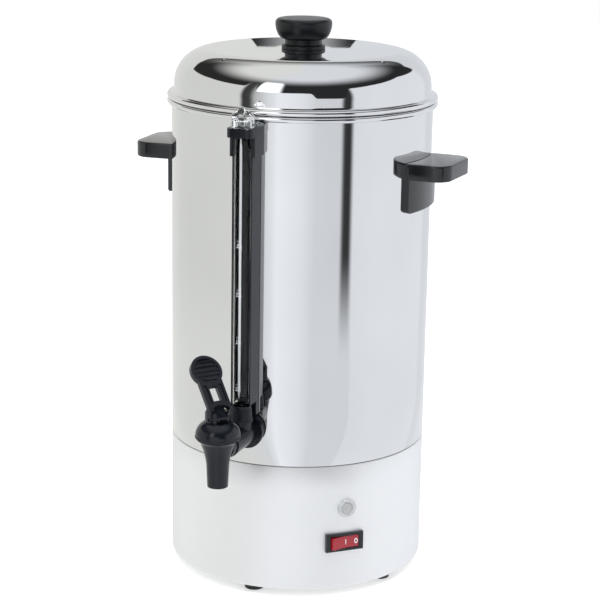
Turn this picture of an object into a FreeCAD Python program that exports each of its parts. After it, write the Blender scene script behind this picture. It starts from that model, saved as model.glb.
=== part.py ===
import FreeCAD, Part
import math
import os
import re
import Sketcher

# Coffee urn. Millimetres, +Z up, origin on the axis at floor level, tap towards -Y.
# Azimuth is counted from -Y towards +X.
SIZES = {
    # vessel
    "body_radius": 120, "sheet": 0.8, "skirt_bottom": 7, "skirt_edge": 3, "skirt_lip": 8,
    "seam_height": 125.8, "seam_gap": 0.8, "joggle_height": 2.4, "slip": 0.1,
    "rim_height": 443.2, "rim_gap": 0.4, "bead": 2.55,
    "floor_rise": 9.2, "floor_sheet": 1, "floor_flange": 6, "well_radius": 32, "well_depth": 14,
    # lid
    "lid_gap": 1.2, "lid_skirt": 8, "lid_straight": 12.8, "lid_shoulder": 31.8,
    "vent_inset": 19, "vent_radius": 1.7, "vent_azimuth": 66.4, "vent_count": 4,
    # knob
    "knob_radius": 26, "knob_neck": 17, "knob_neck_height": 5.2, "knob_height": 28.3,
    "knob_collar_lip": 3, "knob_collar_height": 3.7, "knob_screw": 2, "knob_screw_depth": 16,
    "knob_screw_head": 3, "knob_round": 4.2, "knob_crown": 0.7, "knob_bowl": 15, "knob_collar_round": 1,
    # base and feet
    "base_plate": 1.5, "foot_count": 5, "foot_inset": 17, "foot_radius": 9, "foot_recess": 4.6,
    "foot_recess_depth": 3, "foot_screw": 2, "stud_inset": 36, "stud_radius": 2.5, "stud_count": 3,
    "stud_azimuth": 36, "foot_round": 1, "foot_screw_head": 2.2, "foot_nut": 3.2, "base_nut": 4,
    # handles
    "handle_azimuth": 86.8, "handle_width": 66, "handle_flare": 1, "handle_out": 35.5,
    "handle_drop": 46.6, "handle_slab": 14.5, "handle_corner": 15, "handle_plate": 4.5,
    "handle_tall": 45.7, "handle_foot_corner": 5, "handle_edge": 1.5, "handle_screw": 2.5,
    "handle_screw_spread": 20, "handle_screw_rise": 14.1, "handle_screw_depth": 22,
    "handle_washer": 6, "handle_screw_head": 3, "washer_sheet": 1.5,
    # tap
    "tap_out": 68, "shank_rise": 24, "shank_radius": 8, "shank_bore": 4.5, "spout_drop": 31.6,
    "spout_wall": 3.1, "spout_bore": 6, "seat_drop": 5, "chamber_radius": 9.9,
    "bell_rise": 12, "bell_radius": 18.4, "bell_neck": 14.9, "spout_waist": 9.8,
    "bonnet_lip": 1.25, "bonnet_tall": 15.5, "bonnet_spigot": 6, "collar_radius": 9.4,
    "collar_tall": 9.3, "collar_round": 1, "tap_turn": 52.6, "lever_slot": 11, "slot_rise": 10.5,
    "pivot_rise": 3.5, "pivot_forward": 4, "play": 0.3, "pin_radius": 1.5, "running": 0.05,
    "hub_wall": 2, "lever_lean": 43.3, "lever_thickness": 4.4, "lever_front": 7.3,
    "lever_start": 6, "lever_arch": 12, "arch_inset": 0.9, "lever_pad": 14.6, "lever_length": 43.7,
    "lever_rim": 2.2, "pad_recess": 11.8, "pad_depth": 1.1, "toe_thickness": 1.6, "toe_length": 8,
    "hood_gap": 0.8, "hood_sheet": 1.3, "hood_rise": 0.7, "hood_front": 4.7, "hood_back": 3.6,
    "hood_out": 0.5,
    "window_width": 7.8, "window_start": 13.7, "window_end": 27.7, "window_rim": 1.6, "stem_radius": 2.5,
    "stem_bar": 0.9, "stem_bar_drop": 4.8, "cup_radius": 8.6, "cup_height": 9,
    "spring_gap": 1.9, "spring_wire": 0.6, "spring_turns": 5, "spring_rise": 8,
    "neck_wall": 2.5, "bell_flare": 60, "bell_lip": 7, "cross_hole": 2,
    "bonnet_round": 3, "waist_rise": 5, "bonnet_dome": 14, "spring_room": 7.2,
    "pad_rib": 1.6, "pad_rib_step": 4.2, "shank_nut": 8, "washer_lip": 6,
    # level gauge
    "gauge_gap": 1.25, "glass_radius": 7.5, "glass_wall": 1.5, "glass_out": 4.8,
    "tee_wall": 3.5, "tee_lip": 8, "tee_flange_thickness": 4,
    "seal_thickness": 3, "nut_gap": 1.5, "gauge_nut_tall": 15.5,
    "gauge_nut_low_wall": 2.65, "gauge_nut_high_wall": 2,
    "guard_gap": 0.8, "guard_sheet": 1.1, "bracket_cheek": 2.35, "bracket_drop": 8,
    "bracket_tall": 8, "bracket_leg_tall": 17.7, "cap_wall": 2, "cap_tall": 17.4, "cap_roof": 6.6,
    "glass_sunk": 5, "boss_wall": 1.6, "spigot_wall": 1.1, "guard_tongue": 5.5,
    "nose_wall": 2.5, "bracket_corner": 5, "bracket_screw": 2,
    # switch, lamp and inlet
    "switch_azimuth": 43, "switch_height": 52.4, "switch_frame": 3.25, "switch_frame_low": 1.5,
    "switch_proud": 2.4, "switch_depth": 25, "switch_wall": 1.4, "rocker_radius": 13.6, "rocker_tall": 11.2,
    "rocker_tilt": 8, "rocker_front": 12, "rocker_back": 20, "rocker_crease": 0.9, "rocker_tail": 6,
    "rocker_out": 1, "trunnion": 1.2, "trunnion_end": 1, "lamp_azimuth": 43.9, "lamp_height": 84.6,
    "bezel_lip": 3.25, "lens_radius": 5.5, "bezel_proud": 1.8, "lens_dome": 2.2, "lens_sunk": 0.8,
    "lamp_depth": 24, "lamp_seat": 4, "lamp_nut": 2.6,
    "inlet_height": 42, "inlet_width": 30, "inlet_tall": 22, "inlet_depth": 24, "inlet_flange": 2.5,
    "inlet_ears": 9, "inlet_rim": 3, "inlet_screw": 1.6, "inlet_screw_length": 10, "inlet_pin": 2,
    "inlet_pin_pitch": 7,
    # brewing parts
    "tube_radius": 5, "tube_wall": 0.8, "tube_drop": 19.2, "bell_foot_inset": 4,
    "basket_radius": 72, "basket_tall": 69, "basket_drop": 20, "hub_lip": 4,
    "basket_rows": 3, "basket_holes": 16, "hole_radius": 2, "row_start": 12, "row_step": 20,
    "basket_seat": 4, "basket_overlap": 2, "basket_rim": 4, "basket_collar": 9,
    "pump_rim": 3, "pump_shoulder": 12, "pump_neck": 20, "pump_wall": 1.2, "pump_notch": 6,
    "pump_notch_height": 1, "pump_gap": 2.6,
    # heating
    "element_inset": 3, "element_thickness": 6, "element_coil": 3.5, "element_tab": 30,
    "warm_inset": 26, "warm_tube": 4, "warm_turn": 330,
    "clamp_stud": 3, "clamp_bar": 2, "clamp_width": 14, "clamp_nut": 5,
    # controls
    "thermostat_cap": 9, "thermostat_flange": 12, "thermostat_depth": 16, "thermostat_step": 6,
    "fuse_radius": 3, "fuse_length": 16, "block_width": 46, "block_side": 16, "block_out": 12,
    "block_pitch": 10, "block_way": 1.8, "block_screw": 2,
}

# What follows from the sizes: rings, reaches and heights that must move with what they fit.
FITTED = {
    "floor_height": "seam_height + floor_rise",
    "lid_radius": "body_radius - sheet - lid_gap",
    "vent_ring": "lid_radius - vent_inset",
    "knob_collar_radius": "knob_neck + knob_collar_lip",
    "foot_ring": "body_radius - foot_inset",
    "stud_ring": "body_radius - stud_inset",
    "handle_reach": "body_radius + handle_out",
    "handle_top": "rim_height - handle_drop",
    "handle_foot": "handle_top - handle_tall",
    "handle_screw_low": "handle_foot + handle_screw_rise",
    "tap_reach": "body_radius + tap_out",
    "shank_height": "floor_height + shank_rise",
    "neck_radius": "shank_radius + neck_wall",
    "spout_bottom": "shank_height - spout_drop",
    "spout_tip": "spout_bore + spout_wall",
    "seat_height": "shank_height - seat_drop",
    "bell_height": "shank_height + bell_rise",
    "bonnet_radius": "bell_radius + bonnet_lip",
    "bonnet_waist": "bell_height + waist_rise",
    "spring_roof": "bell_height + spring_rise",
    "slot_floor": "bell_height + slot_rise",
    "bonnet_height": "bell_height + bonnet_tall",
    "collar_height": "bonnet_height + collar_tall",
    "pivot_height": "bonnet_height + pivot_rise",
    "hood_foot": "bonnet_height + hood_rise",
    "hood_radius": "collar_radius + hood_gap + hood_sheet",
    "lever_width": "2 * (hood_radius - hood_out)",
    "arch_half": "collar_radius - arch_inset",
    "hub": "pin_radius + hub_wall",
    "stem_bar_height": "pivot_height - stem_bar_drop",
    "spring_radius": "stem_radius + spring_gap + spring_wire",
    "shank_washer": "shank_radius + washer_lip",
    "tee_radius": "shank_radius + tee_wall",
    "tee_flange": "shank_radius + tee_lip",
    "tee_spigot": "glass_radius + spigot_wall",
    "tee_boss": "tee_spigot + boss_wall",
    "gauge_nut_bottom": "shank_height + tee_radius + nut_gap",
    "glass_foot": "gauge_nut_bottom - glass_sunk",
    "gauge_nut_top": "gauge_nut_bottom + gauge_nut_tall",
    "gauge_nut_low_radius": "tee_spigot + gauge_nut_low_wall",
    "gauge_nut_high_radius": "glass_radius + gauge_nut_high_wall",
    "gauge_stand_off": "seal_thickness + tee_flange_thickness + gauge_nut_low_radius + gauge_gap",
    "bracket_nose": "glass_radius + nose_wall",
    "guard_width": "2 * (glass_radius + guard_gap + guard_sheet)",
    "bracket_width": "guard_width + 2 * bracket_cheek",
    "bracket_top": "rim_height - bracket_drop",
    "bracket_bottom": "bracket_top - bracket_tall",
    "bracket_leg": "bracket_bottom - bracket_leg_tall",
    "glass_top": "bracket_top + glass_out",
    "cap_flats": "2 * (glass_radius + cap_wall)",
    "cap_top": "bracket_top + cap_tall",
    "cap_straight": "cap_top - cap_roof",
    "switch_width": "2 * (rocker_radius + switch_wall + switch_frame)",
    "switch_tall": "rocker_tall + 2 * (switch_wall + switch_frame_low)",
    "bezel_radius": "lens_radius + bezel_lip",
    "tube_top": "rim_height - tube_drop",
    "bell_foot_radius": "well_radius - bell_foot_inset",
    "basket_top": "tube_top - basket_drop",
    "basket_bottom": "basket_top - basket_tall",
    "basket_hub": "tube_radius + hub_lip",
    "element_radius": "well_radius - element_inset",
    "warm_ring": "stud_ring - warm_inset",
}

doc = FreeCAD.newDocument("CoffeeUrn")
sheet = doc.addObject("Spreadsheet::Sheet", "Sizes")
for row, (alias, number) in enumerate(SIZES.items(), 1):
    sheet.set(f"A{row}", str(number))
    sheet.setAlias(f"A{row}", alias)
doc.recompute()

PARTS = []


def linked(formula):
    """A formula in the sheet's words, as an expression that reads the sheet."""
    def read(word):
        if word[0] in FITTED:
            return f"({linked(FITTED[word[0]])})"
        return "Sizes." + word[0] if word[0] in SIZES else word[0]
    return re.sub(r"[a-z][a-z_]+", read, str(formula))


def size(formula):
    """The number that a formula gives now."""
    found = sheet.evalExpression(linked(formula))
    return float(getattr(found, "Value", found))


def bind(thing, **formulas):
    for name, formula in formulas.items():
        thing.setExpression(name.replace("__", "."), linked(formula))
    return thing


def place(thing, x=0, y=0, z=0, turn=None, axis=(0, 0, 1)):
    """Puts a thing at a place, and turns it about an axis."""
    if turn is not None:
        thing.Placement.Rotation = FreeCAD.Rotation(FreeCAD.Vector(*axis), size(turn))
        thing.setExpression("Placement.Rotation.Angle", linked(turn))
    return bind(thing, Placement__Base__x=x, Placement__Base__y=y, Placement__Base__z=z)


def node(label, thing):
    """Marks a finished piece, which is written under its label."""
    thing.Label = label
    PARTS.append(thing)
    return thing


def cylinder(radius, height, x=0, y=0, z=0, turn=None, axis=(0, 0, 1)):
    rod = bind(doc.addObject("Part::Cylinder", "Rod"), Radius=radius, Height=height)
    return place(rod, x, y, z, turn, axis)


def rod_out(radius, start, end, z, x=0):
    """A cylinder that lies along -Y, from start to end as distances from the urn's axis."""
    return cylinder(radius, f"({end}) - ({start})", x, f"-({start})", z, 90, (1, 0, 0))


def box(width, depth, height, x=0, y=0, z=0):
    """A box centred on x, that starts at y and z."""
    block = bind(doc.addObject("Part::Box", "Block"), Length=width, Width=depth, Height=height)
    return place(block, f"({x}) - ({width}) / 2", y, z)


def cut(base, *tools):
    for tool in tools:
        result = doc.addObject("Part::Cut", "Cut")
        result.Base, result.Tool = base, tool
        base = result
    return base


def join(*pieces):
    result = doc.addObject("Part::MultiFuse", "Join")
    result.Shapes = list(pieces)
    result.Refine = True
    return result


def common(base, tool):
    result = doc.addObject("Part::Common", "Common")
    result.Base, result.Tool = base, tool
    return result


def group(pieces):
    result = doc.addObject("Part::Compound", "Group")
    result.Links = list(pieces)
    return result


def around(count, make):
    """One piece for each place round the axis: make gets its azimuth as a formula."""
    return [make(f"{index} * 360 / {count}") for index in range(int(SIZES[count]))]


def outline(body, plane, points, offset=0):
    """A closed sketch through points (x, y), or (x, y, radius, way) for an arc that ends there.

    way is 1 for an arc that runs anticlockwise and -1 for clockwise. Every point is held to the
    sheet by two distances, and every arc by its radius.
    """
    sketch = body.newObject("Sketcher::SketchObject", "Outline")
    origin = next(f for f in body.Origin.OriginFeatures if f.Role == plane)
    sketch.AttachmentSupport = [(origin, "")]
    sketch.MapMode = "FlatFace"
    sketch.setExpression("AttachmentOffset.Base.z", linked(offset))
    spots = [FreeCAD.Vector(size(p[0]), size(p[1]), 0) for p in points]
    ends = []
    for index, point in enumerate(points):
        start, end = spots[index - 1], spots[index]
        if len(point) == 2:
            edge, flipped = Part.LineSegment(start, end), False
        else:
            edge, flipped = arc(start, end, size(point[2]), point[3]), point[3] < 0
        number = sketch.addGeometry(edge, False)
        ends.append((number, 2, 1) if flipped else (number, 1, 2))
        if len(point) == 4:
            hold(sketch, ("Radius", number), point[2])
    for index, (number, first, last) in enumerate(ends):
        after = ends[(index + 1) % len(ends)]
        sketch.addConstraint(Sketcher.Constraint("Coincident", number, last, after[0], after[1]))
        for way, formula in (("DistanceX", points[index][0]), ("DistanceY", points[index][1])):
            hold(sketch, (way, -1, 1, number, last), formula)
    return sketch


def arc(start, end, radius, way):
    """The short arc from start to end, anticlockwise for way 1, as a sketch edge."""
    chord = end - start
    middle = (start + end) * 0.5
    rise = math.sqrt(max(radius ** 2 - (chord.Length / 2) ** 2, 0))
    left = FreeCAD.Vector(-chord.y, chord.x, 0).normalize()
    centre = middle + left * rise * way
    first, last = (start, end) if way > 0 else (end, start)
    angles = [math.atan2(p.y - centre.y, p.x - centre.x) for p in (first, last)]
    circle = Part.Circle(centre, FreeCAD.Vector(0, 0, 1), radius)
    return Part.ArcOfCircle(circle, angles[0], angles[1])


def hold(sketch, kind, formula):
    number = sketch.addConstraint(Sketcher.Constraint(*kind, size(formula)))
    sketch.setExpression(f"Constraints[{number}]", linked(formula))


def turned(points, x=0, y=0, z=0, turn=None, axis=(0, 0, 1)):
    """A piece turned on a lathe: points are (radius, height) of its half section."""
    body = doc.addObject("PartDesign::Body", "Turned")
    sketch = outline(body, "XZ_Plane", points)
    spin = body.newObject("PartDesign::Revolution", "Spin")
    spin.Profile = sketch
    spin.ReferenceAxis = (sketch, ["V_Axis"])
    spin.Angle = 360
    return place(body, x, y, z, turn, axis)


def padded(plane, points, length, offset=0, x=0, y=0, z=0, turn=None, axis=(0, 0, 1)):
    """An outline with a thickness. The XZ plane's pad grows towards -Y, the XY plane's up."""
    body = doc.addObject("PartDesign::Body", "Padded")
    pad = body.newObject("PartDesign::Pad", "Pad")
    pad.Profile = outline(body, plane, points, offset)
    bind(pad, Length=length)
    return place(body, x, y, z, turn, axis)


def tube(outer, inner, low, high):
    return turned([(inner, low), (outer, low), (outer, high), (inner, high)])


def polygon(across_flats, sides):
    """The corners of a nut with flats at the given distance, in order."""
    reach = f"({across_flats}) / 2 / cos(180 / {sides})"
    return [(f"({reach}) * cos({360 * k / sides})", f"({reach}) * sin({360 * k / sides})")
            for k in range(sides)]


def nut(across_flats, bore, height, x=0, y=0, z=0, turn=None, axis=(0, 0, 1)):
    blank = padded("XY_Plane", polygon(across_flats, 6), height)
    hole = cylinder(bore, f"({height}) + 2", z=-1)
    return place(cut(blank, hole), x, y, z, turn, axis)


def fillet(base, picked, radius):
    """Rounds the edges that picked() accepts, with one radius."""
    doc.recompute()
    rounded = doc.addObject("Part::Fillet", "Rounded")
    rounded.Base = base
    rounded.Edges = [(number, size(radius), size(radius))
                     for number, edge in enumerate(base.Shape.Edges, 1) if picked(edge)]
    return rounded


INNER = "(body_radius - sheet)"
BEAD_RING = "(body_radius - sheet + bead)"
SKIRT_TOP = "(seam_height - seam_gap / 2)"
TANK_FOOT = "(seam_height + seam_gap / 2)"
TANK_BEAD = "(rim_height - rim_gap / 2 - bead)"
LID_SEAT = "(rim_height + rim_gap / 2)"
LID_WALL_TOP = "(rim_height + lid_straight)"
LID_TOP = "(rim_height + lid_straight + lid_shoulder)"
PLATE_FACE = "(skirt_bottom + sheet)"
PLATE_TOP = "(skirt_bottom + sheet + base_plate)"
GAUGE = "(body_radius + gauge_stand_off)"
SLAB_MIDDLE = "(handle_top - handle_slab / 2)"
SWITCH_BODY = "(2 * rocker_radius + 2 * switch_wall)"
SWITCH_TALL = "(rocker_tall + 2 * switch_wall)"
ROCKER = "(body_radius + rocker_out)"
INLET_SCREWS = ["-(inlet_width / 2 + inlet_ears / 2)", "(inlet_width / 2 + inlet_ears / 2)"]
INLET_PINS = ["-inlet_pin_pitch", 0, "inlet_pin_pitch"]
BLOCK_WAYS = ["-1.5 * block_pitch", "-0.5 * block_pitch", "0.5 * block_pitch", "1.5 * block_pitch"]
HANDLE_SIDES = ["-handle_azimuth", "handle_azimuth"]
HANDLE_SCREWS = [("-handle_screw_spread", SLAB_MIDDLE), ("handle_screw_spread", SLAB_MIDDLE),
                 (0, "handle_screw_low")]
HANDLE_TIPS = ["body_radius + handle_screw_depth"] * 2 + ["body_radius + handle_plate - 1"]
BRACKET_SCREW = "(bracket_top - 4.5)"
BRACKET_TIP = "(body_radius + 8)"
WELL = "(floor_height - well_depth)"
FLOOR_UNDER = "(floor_height - floor_sheet)"
TEE = "(body_radius + seal_thickness)"
SHANK_NUT = "(body_radius - sheet - seal_thickness)"
SHANK_END = f"({SHANK_NUT} - shank_nut - 3)"
NECK = "(tap_reach - 19.5)"
SPIGOT_TOP = "(gauge_nut_bottom + 9.5)"
FLANGE_TOP = "(shank_height + tee_flange)"
FOOT_WIDTH = "(lever_slot - 2 * play)"
TOE_TOP = "(stem_bar_height - stem_bar - play)"
BONNET_FOOT = "(bell_height + 0.6)"
CUP_FOOT = "(seat_height + play)"
PUMP_FOOT = f"({WELL} + play)"
COVER_FOOT = "(basket_top + play)"
COVER_RADIUS = "(basket_radius + basket_overlap)"


def swing(azimuth, *pieces):
    """Pieces made at the front, carried round the urn to an azimuth."""
    return place(group(pieces), turn=azimuth)


def on_tap(*pieces):
    """Pieces made on the axis, carried to the tap and turned to the way its lever faces."""
    return place(group(pieces), 0, "-tap_reach", 0, "tap_turn")


def facing(points, z, x=0):
    """A lathe piece whose axis points out of the front: heights count from the urn's axis."""
    return turned(points, x, 0, z, 90, (1, 0, 0))


def vessel_cylinder(radius, low, high):
    return cylinder(radius, f"({high}) - ({low})", z=low)


def base_skirt():
    lip, joggle = "(body_radius - skirt_lip)", f"({INNER} - slip)"
    wall = turned([
        (lip, "skirt_bottom"), ("body_radius - skirt_edge", "skirt_bottom"),
        ("body_radius", "skirt_bottom + skirt_edge", "skirt_edge", 1),
        ("body_radius", SKIRT_TOP), (joggle, SKIRT_TOP), (joggle, f"{SKIRT_TOP} + joggle_height"),
        (f"{joggle} - sheet", f"{SKIRT_TOP} + joggle_height"),
        (f"{joggle} - sheet", f"{SKIRT_TOP} - sheet"), (INNER, f"{SKIRT_TOP} - sheet"),
        (INNER, "skirt_bottom + skirt_edge"),
        ("body_radius - skirt_edge", PLATE_FACE, "skirt_edge - sheet", -1), (lip, PLATE_FACE)])
    switch = box(SWITCH_BODY, 20, SWITCH_TALL, 0, "-body_radius - 5",
                 f"switch_height - {SWITCH_TALL} / 2")
    lamp = rod_out("lens_radius + slip", "body_radius - 5", "body_radius + 5", "lamp_height")
    inlet = box("inlet_width", 20, "inlet_tall", 0, "-body_radius - 5", "inlet_height - inlet_tall / 2")
    holes = [rod_out("inlet_screw", "body_radius - 9", "body_radius + 5", "inlet_height", x)
             for x in INLET_SCREWS]
    openings = (swing("switch_azimuth", switch), swing("lamp_azimuth", lamp), swing(180, inlet, *holes))
    return node("base_skirt", cut(wall, *openings))


def tank_shell():
    wall = turned([
        (INNER, TANK_FOOT), ("body_radius", TANK_FOOT),
        ("body_radius", f"{TANK_BEAD} - sqrt(bead ^ 2 - (bead - sheet) ^ 2)"),
        (f"{BEAD_RING} + bead", TANK_BEAD, "bead", 1),
        (BEAD_RING, f"{TANK_BEAD} + bead", "bead", 1), (INNER, TANK_BEAD, "bead", 1)])
    shank = rod_out("shank_radius + slip", "body_radius - 20", "body_radius + 5", "shank_height")
    screw = rod_out("bracket_screw + slip", "body_radius - 20", "body_radius + 5", BRACKET_SCREW)
    handles = [swing(side, *[rod_out("handle_screw + slip", "body_radius - 40", "body_radius + 5", z, x)
                             for x, z in HANDLE_SCREWS]) for side in HANDLE_SIDES]
    return node("tank_shell", cut(wall, shank, screw, *handles))


def tank_bottom():
    floor, well = "floor_height", "(floor_height - well_depth)"
    return node("tank_bottom", turned([
        (INNER, f"{floor} - floor_flange"), (INNER, floor), ("well_radius", floor),
        ("well_radius", well), (0, well), (0, f"{well} - floor_sheet"),
        ("well_radius + floor_sheet", f"{well} - floor_sheet"),
        ("well_radius + floor_sheet", f"{floor} - floor_sheet"),
        (f"{INNER} - floor_sheet", f"{floor} - floor_sheet"),
        (f"{INNER} - floor_sheet", f"{floor} - floor_flange")]))


def lid():
    hole, flat = "(knob_screw + slip)", "(lid_radius - lid_shoulder)"
    pan = turned([
        ("lid_radius - sheet", "rim_height - lid_skirt"), ("lid_radius", "rim_height - lid_skirt"),
        ("lid_radius", LID_SEAT), (BEAD_RING, LID_SEAT),
        (f"{BEAD_RING} + bead", f"{LID_SEAT} + bead", "bead", 1),
        (BEAD_RING, f"{LID_SEAT} + 2 * bead", "bead", 1), ("lid_radius", f"{LID_SEAT} + 2 * bead"),
        ("lid_radius", LID_WALL_TOP), (flat, LID_TOP, "lid_shoulder", 1), (hole, LID_TOP),
        (hole, f"{LID_TOP} - sheet"), (flat, f"{LID_TOP} - sheet"),
        ("lid_radius - sheet", LID_WALL_TOP, "lid_shoulder - sheet", -1)])
    vents = around("vent_count", lambda azimuth: swing(
        f"vent_azimuth + {azimuth}", cylinder("vent_radius", 60, 0, "-vent_ring", LID_WALL_TOP)))
    return node("lid", cut(pan, *vents))


def lid_knob():
    foot, top = f"({LID_TOP} + knob_collar_height)", f"({LID_TOP} + knob_height)"
    bowl = f"({foot} + knob_neck_height)"
    return node("lid_knob", turned([
        ("knob_screw", foot), ("knob_neck", foot), ("knob_neck", bowl), ("knob_neck + 1.5", bowl),
        ("knob_radius", f"{top} - knob_round", "knob_bowl", 1),
        ("knob_radius - knob_round", f"{top} - knob_crown", "knob_round", 1),
        (0, top, "((knob_radius - knob_round) ^ 2 + knob_crown ^ 2) / 2 / knob_crown", 1),
        (0, f"{foot} + knob_screw_depth"), ("knob_screw", f"{foot} + knob_screw_depth")]))


def knob_collar():
    top = f"({LID_TOP} + knob_collar_height)"
    return node("knob_collar", turned([
        ("knob_screw + slip", LID_TOP), ("knob_collar_radius", LID_TOP),
        ("knob_collar_radius", f"{top} - knob_collar_round"),
        ("knob_collar_radius - knob_collar_round", top, "knob_collar_round", 1),
        ("knob_screw + slip", top)]))


def knob_screw():
    seat = f"({LID_TOP} - sheet - slip)"
    tip = f"({LID_TOP} + knob_collar_height + knob_screw_depth - 1)"
    return node("knob_screw", turned([
        (0, f"{seat} - knob_screw_head"), ("knob_screw * 2.5", f"{seat} - knob_screw_head"),
        ("knob_screw * 2.5", seat), ("knob_screw", seat), ("knob_screw", tip), (0, tip)]))


def base_plate():
    disc = vessel_cylinder("body_radius - skirt_edge", PLATE_FACE, PLATE_TOP)
    feet = around("foot_count", lambda azimuth: swing(
        azimuth, cylinder("foot_screw + slip", 20, 0, "-foot_ring")))
    studs = around("stud_count", lambda azimuth: swing(
        f"stud_azimuth + {azimuth}", cylinder("stud_radius + slip", 20, 0, "-stud_ring")))
    return node("base_plate", cut(disc, *feet, *studs))


def feet():
    node("feet", group(around("foot_count", lambda azimuth: swing(azimuth, turned([
        ("foot_recess", 0), ("foot_radius - foot_round", 0),
        ("foot_radius", "foot_round", "foot_round", 1), ("foot_radius", PLATE_FACE),
        ("foot_screw + slip", PLATE_FACE), ("foot_screw + slip", "foot_recess_depth"),
        ("foot_recess", "foot_recess_depth")], 0, "-foot_ring")))))


def foot_fasteners():
    screws = around("foot_count", lambda azimuth: swing(azimuth, turned([
        (0, "foot_recess_depth - foot_screw_head"), ("foot_screw * 2", "foot_recess_depth - foot_screw_head"),
        ("foot_screw * 2", "foot_recess_depth"), ("foot_screw", "foot_recess_depth"),
        ("foot_screw", f"{PLATE_TOP} + foot_nut + 1"), (0, f"{PLATE_TOP} + foot_nut + 1")],
        0, "-foot_ring")))
    node("foot_screws", group(screws))
    nuts = around("foot_count", lambda azimuth: swing(
        azimuth, nut("foot_screw * 3.5", "foot_screw", "foot_nut", 0, "-foot_ring", PLATE_TOP)))
    node("foot_nuts", group(nuts))


def base_studs():
    low = f"({PLATE_FACE} - base_nut)"
    rods = around("stud_count", lambda azimuth: swing(f"stud_azimuth + {azimuth}", cylinder(
        "stud_radius", f"floor_height - floor_sheet - {low}", 0, "-stud_ring", low)))
    node("base_studs", group(rods))
    nuts = around("stud_count", lambda azimuth: swing(f"stud_azimuth + {azimuth}", nut(
        "stud_radius * 3.2", "stud_radius", "base_nut - 0.5", 0, "-stud_ring", f"{low} + 0.5")))
    node("base_nuts", group(nuts))


def handle(label, azimuth):
    """A flat grip on a plate that hugs the tank, cut from one block, screwed on from inside."""
    half, tip = "(handle_width / 2)", "(handle_width / 2 + handle_flare)"
    bend = "handle_corner"
    slab = padded("XY_Plane", [
        (f"-{half}", "-body_radius + 20"), (f"-{tip}", f"-handle_reach + {bend}"),
        (f"-{tip} + {bend}", "-handle_reach", bend, 1), (f"{tip} - {bend}", "-handle_reach"),
        (tip, f"-handle_reach + {bend}", bend, 1), (half, "-body_radius + 20")],
        "handle_slab", "handle_top - handle_slab")
    foot = "handle_foot_corner"
    web = padded("XZ_Plane", [
        (f"-{half}", f"handle_foot + {foot}"), (f"-{half} + {foot}", "handle_foot", foot, 1),
        (f"{half} - {foot}", "handle_foot"), (half, f"handle_foot + {foot}", foot, 1),
        (half, SLAB_MIDDLE), (f"-{half}", SLAB_MIDDLE)], 50, "body_radius - 30")
    hugging = common(web, vessel_cylinder("body_radius + handle_plate", "handle_foot - 5", "handle_top + 5"))
    tank = vessel_cylinder("body_radius", "handle_foot - 5", "handle_top + 5")
    screws = [rod_out("handle_screw", "body_radius - 60", end, z, x)
              for (x, z), end in zip(HANDLE_SCREWS, HANDLE_TIPS)]
    blank = cut(join(slab, hugging), tank, *screws)
    top = size("handle_top")

    def on_rim(edge):
        low = min(v.Z for v in edge.Vertexes)
        middle = edge.valueAt((edge.FirstParameter + edge.LastParameter) / 2)
        return low > top - 0.01 and math.hypot(middle.x, middle.y) > size("body_radius") + 0.5

    return node(label, swing(azimuth, fillet(blank, on_rim, "handle_edge")))


def handle_fasteners():
    screws, washers = [], []
    for side in HANDLE_SIDES:
        for (x, z), end in zip(HANDLE_SCREWS, HANDLE_TIPS):
            seat = f"sqrt({INNER} ^ 2 - (abs({x}) + handle_washer) ^ 2)"
            under = f"({seat} - washer_sheet)"
            screws.append(swing(side, facing([
                (0, f"{under} - handle_screw_head"), ("handle_screw * 1.8", f"{under} - handle_screw_head"),
                ("handle_screw * 1.8", under), ("handle_screw", under), ("handle_screw", end), (0, end)],
                z, x)))
            washers.append(swing(side, facing([
                ("handle_screw + slip", under), ("handle_washer", under), ("handle_washer", seat),
                ("handle_screw + slip", seat)], z, x)))
    node("handle_screws", group(screws))
    node("handle_washers", group(washers))


def tap_body():
    """Spout, neck and threaded shank in one moulding."""
    barrel = turned([
        ("spout_bore", "spout_bottom"), ("spout_tip", "spout_bottom"),
        ("spout_waist", "spout_bottom + 15"), ("bell_neck", "bell_height - 5", "bell_flare", -1),
        ("bell_radius", "bell_height - 0.6", "bell_lip", -1), ("bell_radius", "bell_height"),
        ("chamber_radius", "bell_height"), ("chamber_radius", "seat_height"),
        ("spout_bore", "seat_height")], 0, "-tap_reach")
    neck = rod_out("neck_radius", NECK, "tap_reach - chamber_radius", "shank_height")
    shank = rod_out("shank_radius", SHANK_END, f"{NECK} + 1", "shank_height")
    bore = rod_out("shank_bore", f"{SHANK_END} - 1", "tap_reach - spout_bore", "shank_height")
    cross = cylinder("cross_hole", "shank_radius + 1", 0, f"-{GAUGE}", "shank_height")
    return node("tap_body", cut(join(barrel, neck, shank), bore, cross))


def tap_bonnet():
    """Screwed on the spout; its slotted collar carries the lever's pin."""
    hole, top = "(stem_radius + running)", "collar_height"
    cap = turned([
        ("spring_room", "bell_height - bonnet_spigot"),
        ("chamber_radius - slip", "bell_height - bonnet_spigot"),
        ("chamber_radius - slip", BONNET_FOOT), ("bonnet_radius - 0.8", BONNET_FOOT),
        ("bonnet_radius", f"{BONNET_FOOT} + 2", "bonnet_round", 1), ("bonnet_radius", "bonnet_waist"),
        ("hood_radius", "bonnet_height", "bonnet_dome", 1), ("collar_radius", "bonnet_height"),
        ("collar_radius", f"{top} - collar_round"), ("collar_radius - collar_round", top, "collar_round", 1),
        (hole, top), (hole, "spring_roof"), ("spring_room", "spring_roof")])
    slot = common(box("lever_slot", 40, 40, 0, -20, "slot_floor"),
                  cylinder("collar_radius + play", 60, z="slot_floor - 5"))
    return node("tap_bonnet", on_tap(cut(cap, slot, pivot_hole("pin_radius"))))


def pivot_hole(radius):
    return cylinder(radius, 40, -20, "-pivot_forward", "pivot_height", 90, (0, 1, 0))


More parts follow.
